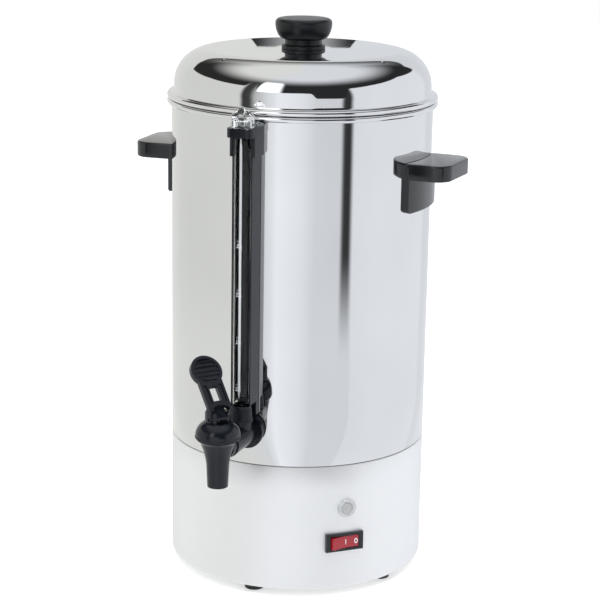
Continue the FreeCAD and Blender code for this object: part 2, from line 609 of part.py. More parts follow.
def tap_lever():
    """The pad leans back over the tap; two toes under the pivot lift the stem's cross bar."""
    leaning = place(join(lever_blade(), lever_foot()), 0, "-pivot_forward", "pivot_height",
                    "-lever_lean", (1, 0, 0))
    toes = box(FOOT_WIDTH, "toe_length", "toe_thickness", 0, "-pivot_forward", f"{TOE_TOP} - toe_thickness")
    heel = box(FOOT_WIDTH, 3, f"pivot_height - {TOE_TOP} + toe_thickness", 0, "-pivot_forward - 2.5",
               f"{TOE_TOP} - toe_thickness")
    room = box("2 * (stem_radius + play)", 20, "pivot_height - slot_floor", 0, "-pivot_forward - 8",
               "slot_floor")
    foot = cut(join(leaning, toes, heel), room)
    return node("tap_lever", on_tap(cut(join(foot, lever_cheeks()), pivot_hole("pin_radius + running"))))


def lever_blade():
    """The blade with its pad, upright: its front face is lever_front before the pivot."""
    w, pad, far, start = "(lever_width / 2)", "lever_pad", "lever_length", "lever_start"
    shoulder = f"({far} - sqrt({pad} ^ 2 - {w} ^ 2))"
    blade = padded("XZ_Plane", [
        (f"-{w}", start), ("-arch_half", start), ("arch_half", start, "lever_arch", -1), (w, start),
        (w, shoulder), (pad, far, pad, 1), (0, f"{far} + {pad}", pad, 1), (f"-{pad}", far, pad, 1),
        (f"-{w}", shoulder, pad, 1)], "lever_thickness", "lever_front - lever_thickness")
    floor = "(-lever_front + pad_depth)"
    recess = cylinder("pad_recess", 10, 0, floor, far, 90, (1, 0, 0))
    ribs = [box("2 * pad_recess", "pad_depth", "pad_rib", 0, "-lever_front + 0.2",
                f"{far} + {row} * pad_rib_step - pad_rib / 2") for row in range(-2, 3)]
    ribs = common(join(*ribs), cylinder("pad_recess", 20, 0, "10 - lever_front", far, 90, (1, 0, 0)))
    low, high = "(window_start - window_rim)", "(window_end + window_rim)"
    channel = box("lever_width - 2 * lever_rim", 10, f"{high} - {low}", 0, f"{floor} - 10", low)
    frame = box("window_width + 2 * window_rim", 20, f"{high} - {low}", 0, "-lever_front - 10", low)
    window = box("window_width", 30, "window_end - window_start", 0, -20, "window_start")
    return join(cut(blade, recess, cut(channel, frame), window), ribs)


def lever_cheeks():
    """Two cheeks that hug the collar, cut off under the blade's front face."""
    ring = tube("hood_radius", "hood_radius - hood_sheet", "hood_foot", "hood_foot + 30")
    band = box(40, "hood_front + hood_back", 60, 0, "-hood_front", "hood_foot - 5")
    under = group([box(60, 60, 40, 0, "-lever_front", "lever_start + 3 - 40")])
    place(under, 0, "-pivot_forward", "pivot_height", "-lever_lean", (1, 0, 0))
    return common(common(ring, band), under)


def lever_foot():
    hub = cylinder("hub", FOOT_WIDTH, f"-{FOOT_WIDTH} / 2", 0, 0, 90, (0, 1, 0))
    back = "(lever_front - lever_thickness)"
    post = box(FOOT_WIDTH, f"{back} + hub + 0.5", "window_start - 1.7", 0, f"-{back} - 1", 0)
    return join(hub, post)


def lever_pin():
    reach = "2 * sqrt(hood_radius ^ 2 - pivot_forward ^ 2) - 1"
    return node("lever_pin", on_tap(cylinder(
        "pin_radius", reach, f"-({reach}) / 2", "-pivot_forward", "pivot_height", 90, (0, 1, 0))))


def tap_stem():
    low = f"({CUP_FOOT} + cup_height / 2)"
    rod = cylinder("stem_radius", f"stem_bar_height + stem_bar - {low}", z=low)
    bar = cylinder("stem_bar", f"{FOOT_WIDTH} - 1", f"-({FOOT_WIDTH} - 1) / 2", 0, "stem_bar_height",
                   90, (0, 1, 0))
    return node("tap_stem", on_tap(join(rod, bar)))


def seat_cup():
    """The rubber cup that closes the tap: a plug inside the spout's bore under a wide rim."""
    low, plug = CUP_FOOT, "(spout_bore - 1)"
    return node("seat_cup", turned([
        (0, f"{low} + 1.5"), (plug, f"{low} + 1.5"), (plug, low), ("cup_radius", low),
        ("cup_radius", f"{low} + 2"), ("spring_radius + 1", f"{low} + cup_height", "cup_height", 1),
        ("stem_radius", f"{low} + cup_height"), ("stem_radius", f"{low} + cup_height / 2"),
        (0, f"{low} + cup_height / 2")], 0, "-tap_reach"))


def tap_spring():
    low = f"({CUP_FOOT} + cup_height + spring_wire)"
    length = size(f"spring_roof - spring_wire - {low}")
    path = Part.makeHelix(length / SIZES["spring_turns"], length, size("spring_radius"))
    start = FreeCAD.Vector(size("spring_radius"), 0, 0)
    wire = Part.Wire([Part.makeCircle(SIZES["spring_wire"], start, FreeCAD.Vector(0, 1, 0))])
    coil = doc.addObject("Part::Feature", "Coil")
    coil.Shape = Part.Wire(path).makePipeShell([wire], True, True)
    return node("tap_spring", place(coil, 0, "-tap_reach", low))


def shank_seals():
    clear = "(shank_radius + slip)"
    outer = facing([(clear, "body_radius - 3"), ("tee_flange - 1", "body_radius - 3"),
                    ("tee_flange - 1", TEE), (clear, TEE)], "shank_height")
    low, high = "shank_height - 50", "shank_height + 50"
    node("shank_seal_outer", cut(outer, vessel_cylinder("body_radius", low, high)))
    inner = facing([(clear, SHANK_NUT), ("shank_washer", SHANK_NUT), ("shank_washer", "body_radius"),
                    (clear, "body_radius")], "shank_height")
    node("shank_seal_inner", common(inner, vessel_cylinder(INNER, low, high)))
    node("shank_nut", nut("shank_radius * 3", "shank_radius", "shank_nut", 0,
                          f"-({SHANK_NUT} - shank_nut)", "shank_height", 90, (1, 0, 0)))


def gauge_tee():
    """Carries the sight glass: water comes to it through the cross hole in the tap's shank."""
    flange = rod_out("tee_flange", TEE, f"{TEE} + tee_flange_thickness", "shank_height")
    barrel = rod_out("tee_radius", f"{TEE} + 1", f"{NECK} - slip", "shank_height")
    boss = cylinder("tee_boss", "gauge_nut_bottom - shank_height", 0, f"-{GAUGE}", "shank_height")
    spigot = cylinder("tee_spigot", f"{SPIGOT_TOP} - shank_height", 0, f"-{GAUGE}", "shank_height")
    bore = rod_out("shank_radius + running", "body_radius", "tap_reach", "shank_height")
    ring = rod_out("shank_radius + 1.5", f"{GAUGE} - 5", f"{GAUGE} + 5", "shank_height")
    way = cylinder("glass_radius - glass_wall - 2", "glass_foot - shank_height + 1", 0, f"-{GAUGE}",
                   "shank_height")
    socket = cylinder("glass_radius + slip", 60, 0, f"-{GAUGE}", "glass_foot")
    return node("gauge_tee", cut(join(flange, barrel, boss, spigot), bore, ring, way, socket))


def gauge_pieces():
    roof = f"({SPIGOT_TOP} + seal_thickness)"
    lower = tube("tee_spigot", "glass_radius", SPIGOT_TOP, roof)
    upper = tube("glass_radius + 1.5", "glass_radius", "bracket_bottom + 1", "bracket_top - 1")
    node("gauge_seals", place(group([lower, upper]), y=f"-{GAUGE}"))
    node("gauge_nut", turned([
        ("tee_spigot + running", "gauge_nut_bottom"), ("gauge_nut_low_radius", "gauge_nut_bottom"),
        ("gauge_nut_low_radius", "gauge_nut_bottom + 1.5"), ("gauge_nut_high_radius", "gauge_nut_top"),
        ("glass_radius + slip", "gauge_nut_top"), ("glass_radius + slip", roof),
        ("tee_spigot + running", roof)], 0, f"-{GAUGE}"))
    node("gauge_glass", place(tube("glass_radius", "glass_radius - glass_wall", "glass_foot", "glass_top"),
                              y=f"-{GAUGE}"))


def gauge_guard():
    depth = "(gauge_stand_off - slip)"
    low, tall = "gauge_nut_top", "bracket_bottom - slip - gauge_nut_top"
    channel = box("guard_width", depth, tall, 0, f"-{GAUGE}", low)
    inside = box("guard_width - 2 * guard_sheet", f"{depth} - guard_sheet + 1", f"{tall} + 20", 0,
                 f"-{GAUGE} - 1", "gauge_nut_top - 10")
    tongue = box("guard_width", "guard_tongue", f"{low} - {FLANGE_TOP} + 1", 0,
                 "-body_radius - slip - guard_tongue", FLANGE_TOP)
    return node("gauge_guard", join(cut(channel, inside), tongue))


def gauge_bracket():
    front, half, bend = f"({GAUGE} + bracket_nose)", "(bracket_width / 2)", "bracket_corner"
    band = padded("XY_Plane", [
        (f"-{half}", "-body_radius + 8"), (f"-{half}", f"-{front} + {bend}"),
        (f"-{half} + {bend}", f"-{front}", bend, 1), (f"{half} - {bend}", f"-{front}"),
        (half, f"-{front} + {bend}", bend, 1), (half, "-body_radius + 8")],
        "bracket_top - bracket_bottom", "bracket_bottom")
    cheeks = box("bracket_width", "gauge_stand_off + 8", "bracket_bottom - bracket_leg + 1", 0,
                 f"-{GAUGE}", "bracket_leg")
    gap = box("guard_width + 2 * slip", 60, "bracket_bottom - bracket_leg + 1", 0, f"-{GAUGE} - 10",
              "bracket_leg - 1")
    glass = cylinder("glass_radius + 1.5", 60, 0, f"-{GAUGE}", "bracket_leg")
    tank = vessel_cylinder("body_radius", "bracket_leg - 20", "bracket_top + 20")
    screw = rod_out("bracket_screw", "body_radius - 20", BRACKET_TIP, BRACKET_SCREW)
    return node("gauge_bracket", cut(join(band, cut(cheeks, gap)), glass, tank, screw))


def bracket_screw():
    seat = f"sqrt({INNER} ^ 2 - (bracket_screw * 2) ^ 2)"
    return node("bracket_screw", facing([
        (0, f"{seat} - bracket_screw"), ("bracket_screw * 1.8", f"{seat} - bracket_screw"),
        ("bracket_screw * 1.8", seat), ("bracket_screw", seat), ("bracket_screw", BRACKET_TIP),
        (0, BRACKET_TIP)], BRACKET_SCREW))


def gauge_cap():
    """A clear six-sided cap with a pointed roof, lifted off to brush the glass."""
    low = "(bracket_top + play)"
    prism = padded("XY_Plane", polygon("cap_flats", 6), f"cap_top - {low}", low)
    cone = turned([(0, low), ("cap_flats * 0.62", low), ("cap_flats * 0.62", "cap_straight - 1"),
                   ("cap_flats * 0.56", "cap_straight"), (0, "cap_top")])
    cavity = cylinder("glass_radius + play + slip", f"glass_top + 2 - {low}", z=low)
    return node("gauge_cap", place(cut(common(prism, cone), cavity), y=f"-{GAUGE}"))


def switch_parts():
    """A rocker on two trunnions, in a frame that snaps into the skirt."""
    front, tall = "(body_radius + switch_proud)", f"({SWITCH_TALL} - 2 * slip)"
    flange = box("switch_width", "switch_proud + 4", "switch_tall", 0, f"-{front}",
                 "switch_height - switch_tall / 2")
    flange = cut(flange, vessel_cylinder("body_radius", 0, 100))
    case = box(f"{SWITCH_BODY} - 2 * slip", "switch_depth", tall, 0, f"-{front}",
               f"switch_height - {tall} / 2")
    pocket = box("2 * (rocker_radius + play)", "switch_depth / 2", "rocker_tall + 2 * play", 0,
                 f"-{front} - 1", "switch_height - rocker_tall / 2 - play")
    holes = place(trunnions("trunnion + running", "trunnion_end + running"), 0, f"-{ROCKER}", "switch_height")
    node("switch_housing", swing("switch_azimuth", cut(join(flange, case), pocket, holes)))
    arm, half = "rocker_radius", "(rocker_tall / 2)"
    across, out = f"{arm} * cos(rocker_front)", f"-{arm} * sin(rocker_front)"
    wide, deep = f"{arm} * cos(rocker_back)", f"{arm} * sin(rocker_back)"
    wedge = padded("XY_Plane", [
        (wide, deep), (across, out, arm, -1), (0, "-rocker_crease"), (f"-{across}", out),
        (f"-{wide}", deep, arm, -1), (0, "rocker_tail")], "rocker_tall", f"-{half}")
    rocker = join(wedge, trunnions("trunnion", "trunnion_end"))
    node("switch_rocker", swing("switch_azimuth", place(
        rocker, 0, f"-{ROCKER}", "switch_height", "rocker_tilt")))


def trunnions(radius, end):
    """One rod through the rocker's middle, past both of its ends."""
    return group([cylinder(radius, f"rocker_tall + 2 * ({end})", z=f"-rocker_tall / 2 - ({end})")])


def lamp_parts():
    face, seat = "body_radius", "(body_radius - lamp_seat)"
    top, lens = f"({face} + bezel_proud)", f"({face} + bezel_proud - lens_sunk)"
    rim = facing([
        ("lens_radius", f"{face} - 3"), ("bezel_radius", f"{face} - 3"), ("bezel_radius", f"{top} - 1"),
        ("bezel_radius - 1", top, 1, 1), ("lens_radius + 1", top), ("lens_radius", f"{top} - 0.6")],
        "lamp_height")
    wall = vessel_cylinder("body_radius", "lamp_height - 20", "lamp_height + 20")
    node("lamp_bezel", swing("lamp_azimuth", cut(rim, wall)))
    node("lamp_lens", swing("lamp_azimuth", facing([
        (0, seat), ("lens_radius", seat), ("lens_radius", lens),
        (0, f"{lens} + lens_dome", "(lens_radius ^ 2 + lens_dome ^ 2) / 2 / lens_dome", 1)],
        "lamp_height")))
    back, barrel = f"({face} - lamp_depth)", "(lens_radius - 0.5)"
    node("lamp_body", swing("lamp_azimuth", facing([(0, back), (barrel, back), (barrel, seat), (0, seat)],
                                                   "lamp_height")))
    node("lamp_nut", swing("lamp_azimuth", nut(
        "lens_radius * 2.6", "lens_radius", "lamp_nut", 0, f"-{seat}", "lamp_height", 90, (1, 0, 0))))


def inlet_parts():
    """A recessed appliance inlet with three pins, screwed to the back of the skirt."""
    face, low = "(body_radius + inlet_flange)", "(inlet_height - inlet_tall / 2)"
    flange = box("inlet_width + inlet_ears * 2", "inlet_flange + 6", "inlet_tall + 2 * inlet_rim", 0,
                 f"-{face}", f"{low} - inlet_rim")
    flange = cut(flange, vessel_cylinder("body_radius", 0, 100))
    shroud = box("inlet_width - 2 * slip", "inlet_depth + inlet_flange", "inlet_tall - 2 * slip", 0,
                 f"-{face}", f"{low} + slip")
    socket = box("inlet_width - 2 * inlet_rim", "inlet_depth + inlet_flange - 2",
                 "inlet_tall - 2 * inlet_rim", 0, f"-{face} - 1", f"{low} + inlet_rim")
    pins = [rod_out("inlet_pin", "body_radius - inlet_depth - 6", "body_radius - 4", "inlet_height", x)
            for x in INLET_PINS]
    holes = [rod_out("inlet_screw", "body_radius - 20", "body_radius + 20", "inlet_height", x)
             for x in INLET_SCREWS]
    node("inlet_housing", swing(180, cut(join(flange, shroud), socket, *pins, *holes)))
    node("inlet_pins", swing(180, *pins))
    tip, head = "(body_radius - inlet_screw_length)", "(2 * inlet_screw)"
    screws = [facing([
        (0, tip), ("inlet_screw", tip), ("inlet_screw", face), (head, face), (head, f"{face} + 1"),
        ("inlet_screw", f"{face} + 1.8"), (0, f"{face} + 1.8")], "inlet_height", x) for x in INLET_SCREWS]
    node("inlet_screws", swing(180, *screws))


def pump_tube():
    foot = f"({PUMP_FOOT} + pump_gap)"
    return node("pump_tube", tube("tube_radius", "tube_radius - tube_wall", foot, "tube_top"))


def pump_bell():
    """The bell stands over the heated well; its notched rim lets the water in."""
    low, rim, neck = PUMP_FOOT, "bell_foot_radius", "(tube_radius + pump_wall)"
    shoulder, top = f"({low} + pump_shoulder)", f"({low} + pump_neck)"
    shell = turned([
        (f"{rim} - sheet", low), (rim, low), (rim, f"{low} + pump_rim"), (neck, shoulder), (neck, top),
        ("tube_radius", top), ("tube_radius", f"{shoulder} - pump_wall"),
        (f"{rim} - sheet", f"{low} + pump_rim - sheet")])
    notch = box("pump_notch", "3 * body_radius", "pump_notch_height + 1", 0, "-1.5 * body_radius",
                f"{low} - 1")
    return node("pump_bell", cut(shell, notch))


def basket_seat():
    return node("basket_seat", tube("basket_hub + 2", "tube_radius", "basket_bottom - basket_seat",
                                    "basket_bottom"))


def basket():
    rim, hub, low, top = "basket_radius", "(tube_radius + play)", "basket_bottom", "basket_top"
    cup = turned([
        (hub, low), (rim, low), (rim, top), (f"{rim} - sheet", top), (f"{rim} - sheet", f"{low} + sheet"),
        (f"{hub} + sheet", f"{low} + sheet"), (f"{hub} + sheet", top), (hub, top)])
    side = [rod_out("hole_radius", "basket_radius - 6", "basket_radius + 6",
                    f"basket_bottom + row_start + {row} * row_step") for row in range(SIZES["basket_rows"])]
    floor = [cylinder("hole_radius", 10, 0, f"-basket_radius * {share}", "basket_bottom - 5")
             for share in (0.35, 0.6, 0.85)]
    holes = around("basket_holes", lambda azimuth: swing(azimuth, *side, *floor))
    return node("basket", cut(cup, group(holes)))


def basket_lid():
    """A perforated cover that spreads the water over the coffee."""
    low, hub, rim = COVER_FOOT, "(tube_radius + play)", COVER_RADIUS
    plate = turned([
        (hub, low), (rim, low), (rim, f"{low} + basket_rim"), (f"{rim} - sheet", f"{low} + basket_rim"),
        (f"{rim} - sheet", f"{low} + sheet"), (f"{hub} + sheet", f"{low} + sheet"),
        (f"{hub} + sheet", f"{low} + basket_collar"), (hub, f"{low} + basket_collar")])
    drips = [cylinder("hole_radius / 2", 10, 0, f"-basket_radius * {share}", f"{low} - 5")
             for share in (0.3, 0.55, 0.8)]
    holes = around("basket_holes", lambda azimuth: swing(azimuth, *drips))
    return node("basket_lid", cut(plate, group(holes)))


def heating_parts():
    """The pump element is clamped under the well, the warming ring lies under the tank's floor."""
    face = f"({WELL} - floor_sheet)"
    low = f"({face} - element_thickness)"
    disc = tube("element_radius", "clamp_stud + slip", low, face)
    coil = bind(doc.addObject("Part::Torus", "Coil"), Radius1="element_radius * 0.65", Radius2="element_coil")
    place(coil, z=f"{low} - 1.5")
    tabs = box("element_tab", 6, 1, 0, "element_radius - 2", f"{low} + 2")
    node("pump_element", join(disc, coil, tabs))
    bar = f"({low} - element_coil - 1.5 - clamp_bar)"
    strap = box("element_radius * 2.2", "clamp_width", "clamp_bar", 0, "-clamp_width / 2", bar)
    node("element_clamp", cut(strap, cylinder("clamp_stud + slip", 60, z=f"{bar} - 5")))
    node("clamp_stud", vessel_cylinder("clamp_stud", f"{bar} - clamp_nut - 1", face))
    node("clamp_nut", nut("clamp_stud * 3.3", "clamp_stud", "clamp_nut", 0, 0, f"{bar} - clamp_nut"))
    ring = bind(doc.addObject("Part::Torus", "Ring"), Radius1="warm_ring", Radius2="warm_tube",
                Angle3="warm_turn")
    node("warming_element", place(ring, 0, 0, f"{FLOOR_UNDER} - warm_tube", -75))


def controls():
    """Thermostat and fuse under the tank's floor, terminal block on the base plate."""
    under, cap, flange = FLOOR_UNDER, "thermostat_cap", "thermostat_flange"
    cup = turned([
        (0, f"{under} - thermostat_depth"), (cap, f"{under} - thermostat_depth"),
        (cap, f"{under} - thermostat_step"), (flange, f"{under} - thermostat_step"), (flange, under),
        (0, under)], 0, "-stud_ring")
    tabs = box("2 * thermostat_cap - 2", 1, 8, 0, "-stud_ring", f"{under} - thermostat_depth - 6")
    node("thermostat", swing("stud_azimuth + 60", join(cup, tabs)))
    fuse = cylinder("fuse_radius", "fuse_length", "-fuse_length / 2", "-stud_ring", f"{under} - fuse_radius",
                    90, (0, 1, 0))
    node("thermal_fuse", swing("stud_azimuth + 180", fuse))
    block = box("block_width", "block_side", "block_side", 0, "block_out", PLATE_TOP)
    seat, middle = f"({PLATE_TOP} + block_side - 6)", "(block_out + block_side / 2)"
    ways = [cylinder("block_way", 30, x, 30, f"{PLATE_TOP} + 6", 90, (1, 0, 0)) for x in BLOCK_WAYS]
    holes = [cylinder("block_screw", 30, x, middle, seat) for x in BLOCK_WAYS]
    node("terminal_block", cut(block, *ways, *holes))
    node("terminal_screws", group([cylinder("block_screw", 6, x, middle, seat) for x in BLOCK_WAYS]))


def build():
    base_skirt()
    base_plate()
    feet()
    foot_fasteners()
    base_studs()
    tank_shell()
    tank_bottom()
    lid()
    lid_knob()
    knob_collar()
    knob_screw()
    handle("left_handle", "-handle_azimuth")
    handle("right_handle", "handle_azimuth")
    handle_fasteners()
    tap_body()
    tap_bonnet()
    tap_lever()
    lever_pin()
    tap_stem()
    seat_cup()
    tap_spring()
    shank_seals()
    gauge_tee()
    gauge_pieces()
    gauge_guard()
    gauge_bracket()
    bracket_screw()
    gauge_cap()
    switch_parts()
    lamp_parts()
    inlet_parts()
    pump_tube()
    pump_bell()
    basket_seat()
    basket()
    basket_lid()
    heating_parts()
    controls()


def check_and_write():
    doc.recompute()
    for thing in doc.Objects:
        if {"Invalid", "Error"} & set(thing.State):
            raise SystemExit(f"failed: {thing.Label} {thing.State}")
    for part in PARTS:
        if part.Shape.isNull() or not part.Shape.isValid() or not part.Shape.Solids:
            raise SystemExit(f"bad shape: {part.Label}")
    os.makedirs("parts", exist_ok=True)
    for part in PARTS:
        part.Shape.exportStep(f"parts/{part.Label}.step")
        print(part.Label, len(part.Shape.Solids), round(part.Shape.Volume / 1000, 3), "cm3")


build()
check_and_write()
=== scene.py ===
import math

import bmesh
import bpy
import numpy as np
from mathutils import Matrix


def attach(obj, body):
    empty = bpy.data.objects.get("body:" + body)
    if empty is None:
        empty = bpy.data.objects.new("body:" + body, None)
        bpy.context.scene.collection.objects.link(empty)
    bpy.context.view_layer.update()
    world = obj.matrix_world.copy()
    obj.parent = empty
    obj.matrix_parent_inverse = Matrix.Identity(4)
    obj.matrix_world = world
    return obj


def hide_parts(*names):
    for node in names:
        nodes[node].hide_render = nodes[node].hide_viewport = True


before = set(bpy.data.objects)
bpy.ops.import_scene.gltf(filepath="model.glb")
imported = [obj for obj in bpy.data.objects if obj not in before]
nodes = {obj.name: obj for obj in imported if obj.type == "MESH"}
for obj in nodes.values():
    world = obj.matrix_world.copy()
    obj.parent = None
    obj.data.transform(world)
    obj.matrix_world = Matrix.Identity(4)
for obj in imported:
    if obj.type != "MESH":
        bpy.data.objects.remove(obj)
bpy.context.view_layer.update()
print("frame loaded:", len(nodes), "nodes")

mm = 0.001
photoTurn = 21.4  # the photo's camera stands this far round from the front, in degrees


# every piece below is worked out in millimetres as whole arrays, and made smaller once, in addPiece

def arcPoints(centre, radius, first, last, count=12):
    # points round a centre, from one angle to another, in degrees
    angle = np.radians(np.linspace(first, last, count))
    return np.stack([centre[0] + radius * np.cos(angle), centre[1] + radius * np.sin(angle)], 1)


def roundedLoop(corners, count=6):
    # each corner (x, y, radius) becomes an arc that touches both of its sides
    loop = []
    spots = np.array([corner[:2] for corner in corners], float)
    for index, corner in enumerate(corners):
        here, radius = spots[index], corner[2] if len(corner) > 2 else 0
        back = spots[index - 1] - here
        ahead = spots[(index + 1) % len(spots)] - here
        if radius == 0:
            loop.append(here[None])
            continue
        back, ahead = back / np.linalg.norm(back), ahead / np.linalg.norm(ahead)
        half = math.acos(np.clip(back @ ahead, -1, 1)) / 2
        reach = radius / math.tan(half)
        middle = (back + ahead) / np.linalg.norm(back + ahead) * radius / math.sin(half) + here
        start, end = here + back * reach - middle, here + ahead * reach - middle
        share = np.linspace(0, 1, count)[:, None]
        sweep = math.pi - 2 * half
        blended = (np.sin((1 - share) * sweep) * start + np.sin(share * sweep) * end) / math.sin(sweep)
        loop.append(middle + blended)
    return np.concatenate(loop)


def gridFaces(rows, columns, wrapRows=False, wrapColumns=False, first=0):
    # four-cornered faces between neighbours of a grid that is numbered row by row
    r = np.arange(rows if wrapRows else rows - 1)[:, None]
    c = np.arange(columns if wrapColumns else columns - 1)[None]
    r2, c2 = (r + 1) % rows, (c + 1) % columns
    corners = r * columns + c, r * columns + c2, r2 * columns + c2, r2 * columns + c
    quads = np.stack(np.broadcast_arrays(*corners), -1)
    return (quads.reshape(-1, 4) + first).tolist()


def lathe(profile, turns=192, ripple=None):
    # a half section (radius, height) carried round the axis; ripple adds to the radius by angle and height
    profile = np.asarray(profile, float)
    angle = np.linspace(0, 2 * math.pi, turns, endpoint=False)
    radius = np.repeat(profile[:, :1], turns, 1)
    height = np.repeat(profile[:, 1:], turns, 1)
    if ripple is not None:
        radius = radius + ripple(angle[None], radius, height)
    points = np.stack([radius * np.cos(angle), radius * np.sin(angle), height], -1)
    onAxis = profile[0, 0] < 1e-6 and profile[-1, 0] < 1e-6
    return points.reshape(-1, 3), gridFaces(len(profile), turns, not onAxis, True)


def slab(loop, low, high, edge=0.0, count=5):
    # a flat outline with a thickness, its rims rounded by drawing the outline in along its own normals
    loop = np.asarray(loop, float)
    if np.sum(loop[:, 0] * np.roll(loop[:, 1], -1) - np.roll(loop[:, 0], -1) * loop[:, 1]) < 0:
        loop = loop[::-1]
    side = np.roll(loop, -1, 0) - loop
    side /= np.linalg.norm(side, axis=1)[:, None]
    normal = np.stack([side[:, 1], -side[:, 0]], 1)
    normal = normal + np.roll(normal, 1, 0)
    normal /= np.maximum((normal ** 2).sum(1) / 2, 1e-6)[:, None]
    turn = np.radians(np.linspace(0, 90, count)) if edge else np.array([math.pi / 2])
    inset = edge * (1 - np.sin(turn))
    lift = edge * (1 - np.cos(turn))
    rings = [np.column_stack([loop - normal * i, np.full(len(loop), low + l)]) for i, l in zip(inset, lift)]
    rings += [np.column_stack([loop - normal * i, np.full(len(loop), high - l)])
              for i, l in zip(inset[::-1], lift[::-1])]
    faces = gridFaces(len(rings), len(loop), False, True)
    size = len(loop)
    faces += [list(range(size))[::-1], list(range((len(rings) - 1) * size, len(rings) * size))]
    return np.concatenate(rings), faces


def shell(front, back):
    # two grids of the same shape, joined along their four sides into one closed skin
    rows, columns = front.shape[:2]
    size = rows * columns
    faces = gridFaces(rows, columns) + [f[::-1] for f in gridFaces(rows, columns, first=size)]
    border = np.concatenate([np.arange(columns), np.arange(1, rows) * columns + columns - 1,
                             (rows - 1) * columns + np.arange(columns - 2, -1, -1),
                             np.arange(rows - 2, 0, -1) * columns])
    after = np.roll(border, -1)
    faces += np.stack([border, border + size, after + size, after], 1).tolist()
    return np.concatenate([front.reshape(-1, 3), back.reshape(-1, 3)]), faces


def bundle(*parts):
    # several closed skins in one mesh
    points, faces, start = [], [], 0
    for somePoints, someFaces in parts:
        points.append(somePoints)
        faces += [[corner + start for corner in face] for face in someFaces]
        start += len(somePoints)
    return np.concatenate(points), faces


def moved(part, by):
    return part[0] + np.asarray(by, float), part[1]


def swung(part, azimuth):
    # carries a piece made at the front round the urn
    a = math.radians(azimuth)
    turn = np.array([[math.cos(a), math.sin(a), 0], [-math.sin(a), math.cos(a), 0], [0, 0, 1]])
    return part[0] @ turn, part[1]


def outward(part):
    # lays a piece down: its height becomes the distance out of the front
    return np.stack([part[0][:, 0], -part[0][:, 2], part[0][:, 1]], 1), part[1]


def tidyMesh(mesh, gap):
    # points nearer than the gap become one, and every face looks outwards
    made = bmesh.new()
    made.from_mesh(mesh)
    bmesh.ops.remove_doubles(made, verts=made.verts, dist=gap)
    bmesh.ops.recalc_face_normals(made, faces=made.faces)
    made.to_mesh(mesh)
    made.free()


def finishPiece(piece, body, material, stands, angle):
    # one material, smooth shading up to an angle, and what the frame has to know of the piece
    mesh = piece.data
    mesh.materials.clear()
    mesh.materials.append(material)
    mesh.polygons.foreach_set("use_smooth", [True] * len(mesh.polygons))
    mesh.set_sharp_from_angle(angle=math.radians(angle))
    mesh.update()
    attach(piece, body)
    if stands:
        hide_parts(*stands)
    return piece


def addPiece(name, part, body, material, stands=(), angle=32):
    mesh = bpy.data.meshes.new(name)
    mesh.from_pydata((part[0] * mm).tolist(), [], part[1])
    tidyMesh(mesh, 1e-7)
    piece = bpy.data.objects.new(name, mesh)
    bpy.context.scene.collection.objects.link(piece)
    return finishPiece(piece, body, material, stands, angle)


def softCopy(node, name, body, material, bevel=0.0, angle=32):
    # a merged copy of a CAD node, smooth over its curves, its sharp edges broken by a bevel
    piece = nodes[node].copy()
    piece.data = nodes[node].data.copy()
    for key in list(piece.keys()):
        del piece[key]
    piece.name = piece.data.name = name
    piece.parent = None
    bpy.context.scene.collection.objects.link(piece)
    tidyMesh(piece.data, 2e-6)
    if bevel:
        made = bmesh.new()
        made.from_mesh(piece.data)
        bmesh.ops.dissolve_limit(made, angle_limit=math.radians(0.4), verts=made.verts, edges=made.edges)
        made.to_mesh(piece.data)
        made.free()
        rounding = piece.modifiers.new("edges", "BEVEL")
        rounding.width = bevel * mm
        rounding.segments = 2
        rounding.limit_method = "ANGLE"
        rounding.angle_limit = math.radians(38)
        rounding.harden_normals = False
    return finishPiece(piece, body, material, (node,), angle)


def startMaterial(name):
    # a material with its shader, and the piece's own coordinates for its patterns
    material = bpy.data.materials.new(name)
    material.use_nodes = True
    tree = material.node_tree
    shader = tree.nodes["Principled BSDF"]
    where = tree.nodes.new("ShaderNodeTexCoord").outputs["Object"]
    return material, tree, shader, where


def addNode(tree, kind, inputs=(), **settings):
    made = tree.nodes.new(kind)
    for key, value in settings.items():
        setattr(made, key, value)
    for key, value in dict(inputs).items():
        if isinstance(value, bpy.types.NodeSocket):
            tree.links.new(value, made.inputs[key])
        else:
            made.inputs[key].default_value = value
    return made


def mathNode(tree, operation, *values):
    return addNode(tree, "ShaderNodeMath", dict(enumerate(values)), operation=operation).outputs[0]


def noise(tree, where, scale, detail=2.0, stretch=None):
    if stretch:
        where = addNode(tree, "ShaderNodeMapping", {"Vector": where, "Scale": stretch}).outputs[0]
    made = addNode(tree, "ShaderNodeTexNoise", {"Vector": where, "Scale": scale, "Detail": detail})
    return made.outputs["Fac"]


def between(tree, value, low, high, fromLow=0.3, fromHigh=0.7):
    made = addNode(tree, "ShaderNodeMapRange", {"Value": value, "From Min": fromLow, "From Max": fromHigh,
                                                "To Min": low, "To Max": high})
    return made.outputs["Result"]


def blendColours(tree, factor, first, second):
    # a colour is three numbers, or the socket of one worked out before
    made = addNode(tree, "ShaderNodeMix", data_type="RGBA")
    tree.links.new(factor, made.inputs["Factor"])
    for name, colour in (("A", first), ("B", second)):
        socket = [s for s in made.inputs if s.name == name and s.type == "RGBA"][0]
        if isinstance(colour, bpy.types.NodeSocket):
            tree.links.new(colour, socket)
        else:
            socket.default_value = (*colour, 1)
    return [s for s in made.outputs if s.type == "RGBA"][0]


def bump(tree, shader, height, strength, distance):
    made = addNode(tree, "ShaderNodeBump", {"Height": height, "Strength": strength, "Distance": distance})
    tree.links.new(made.outputs["Normal"], shader.inputs["Normal"])


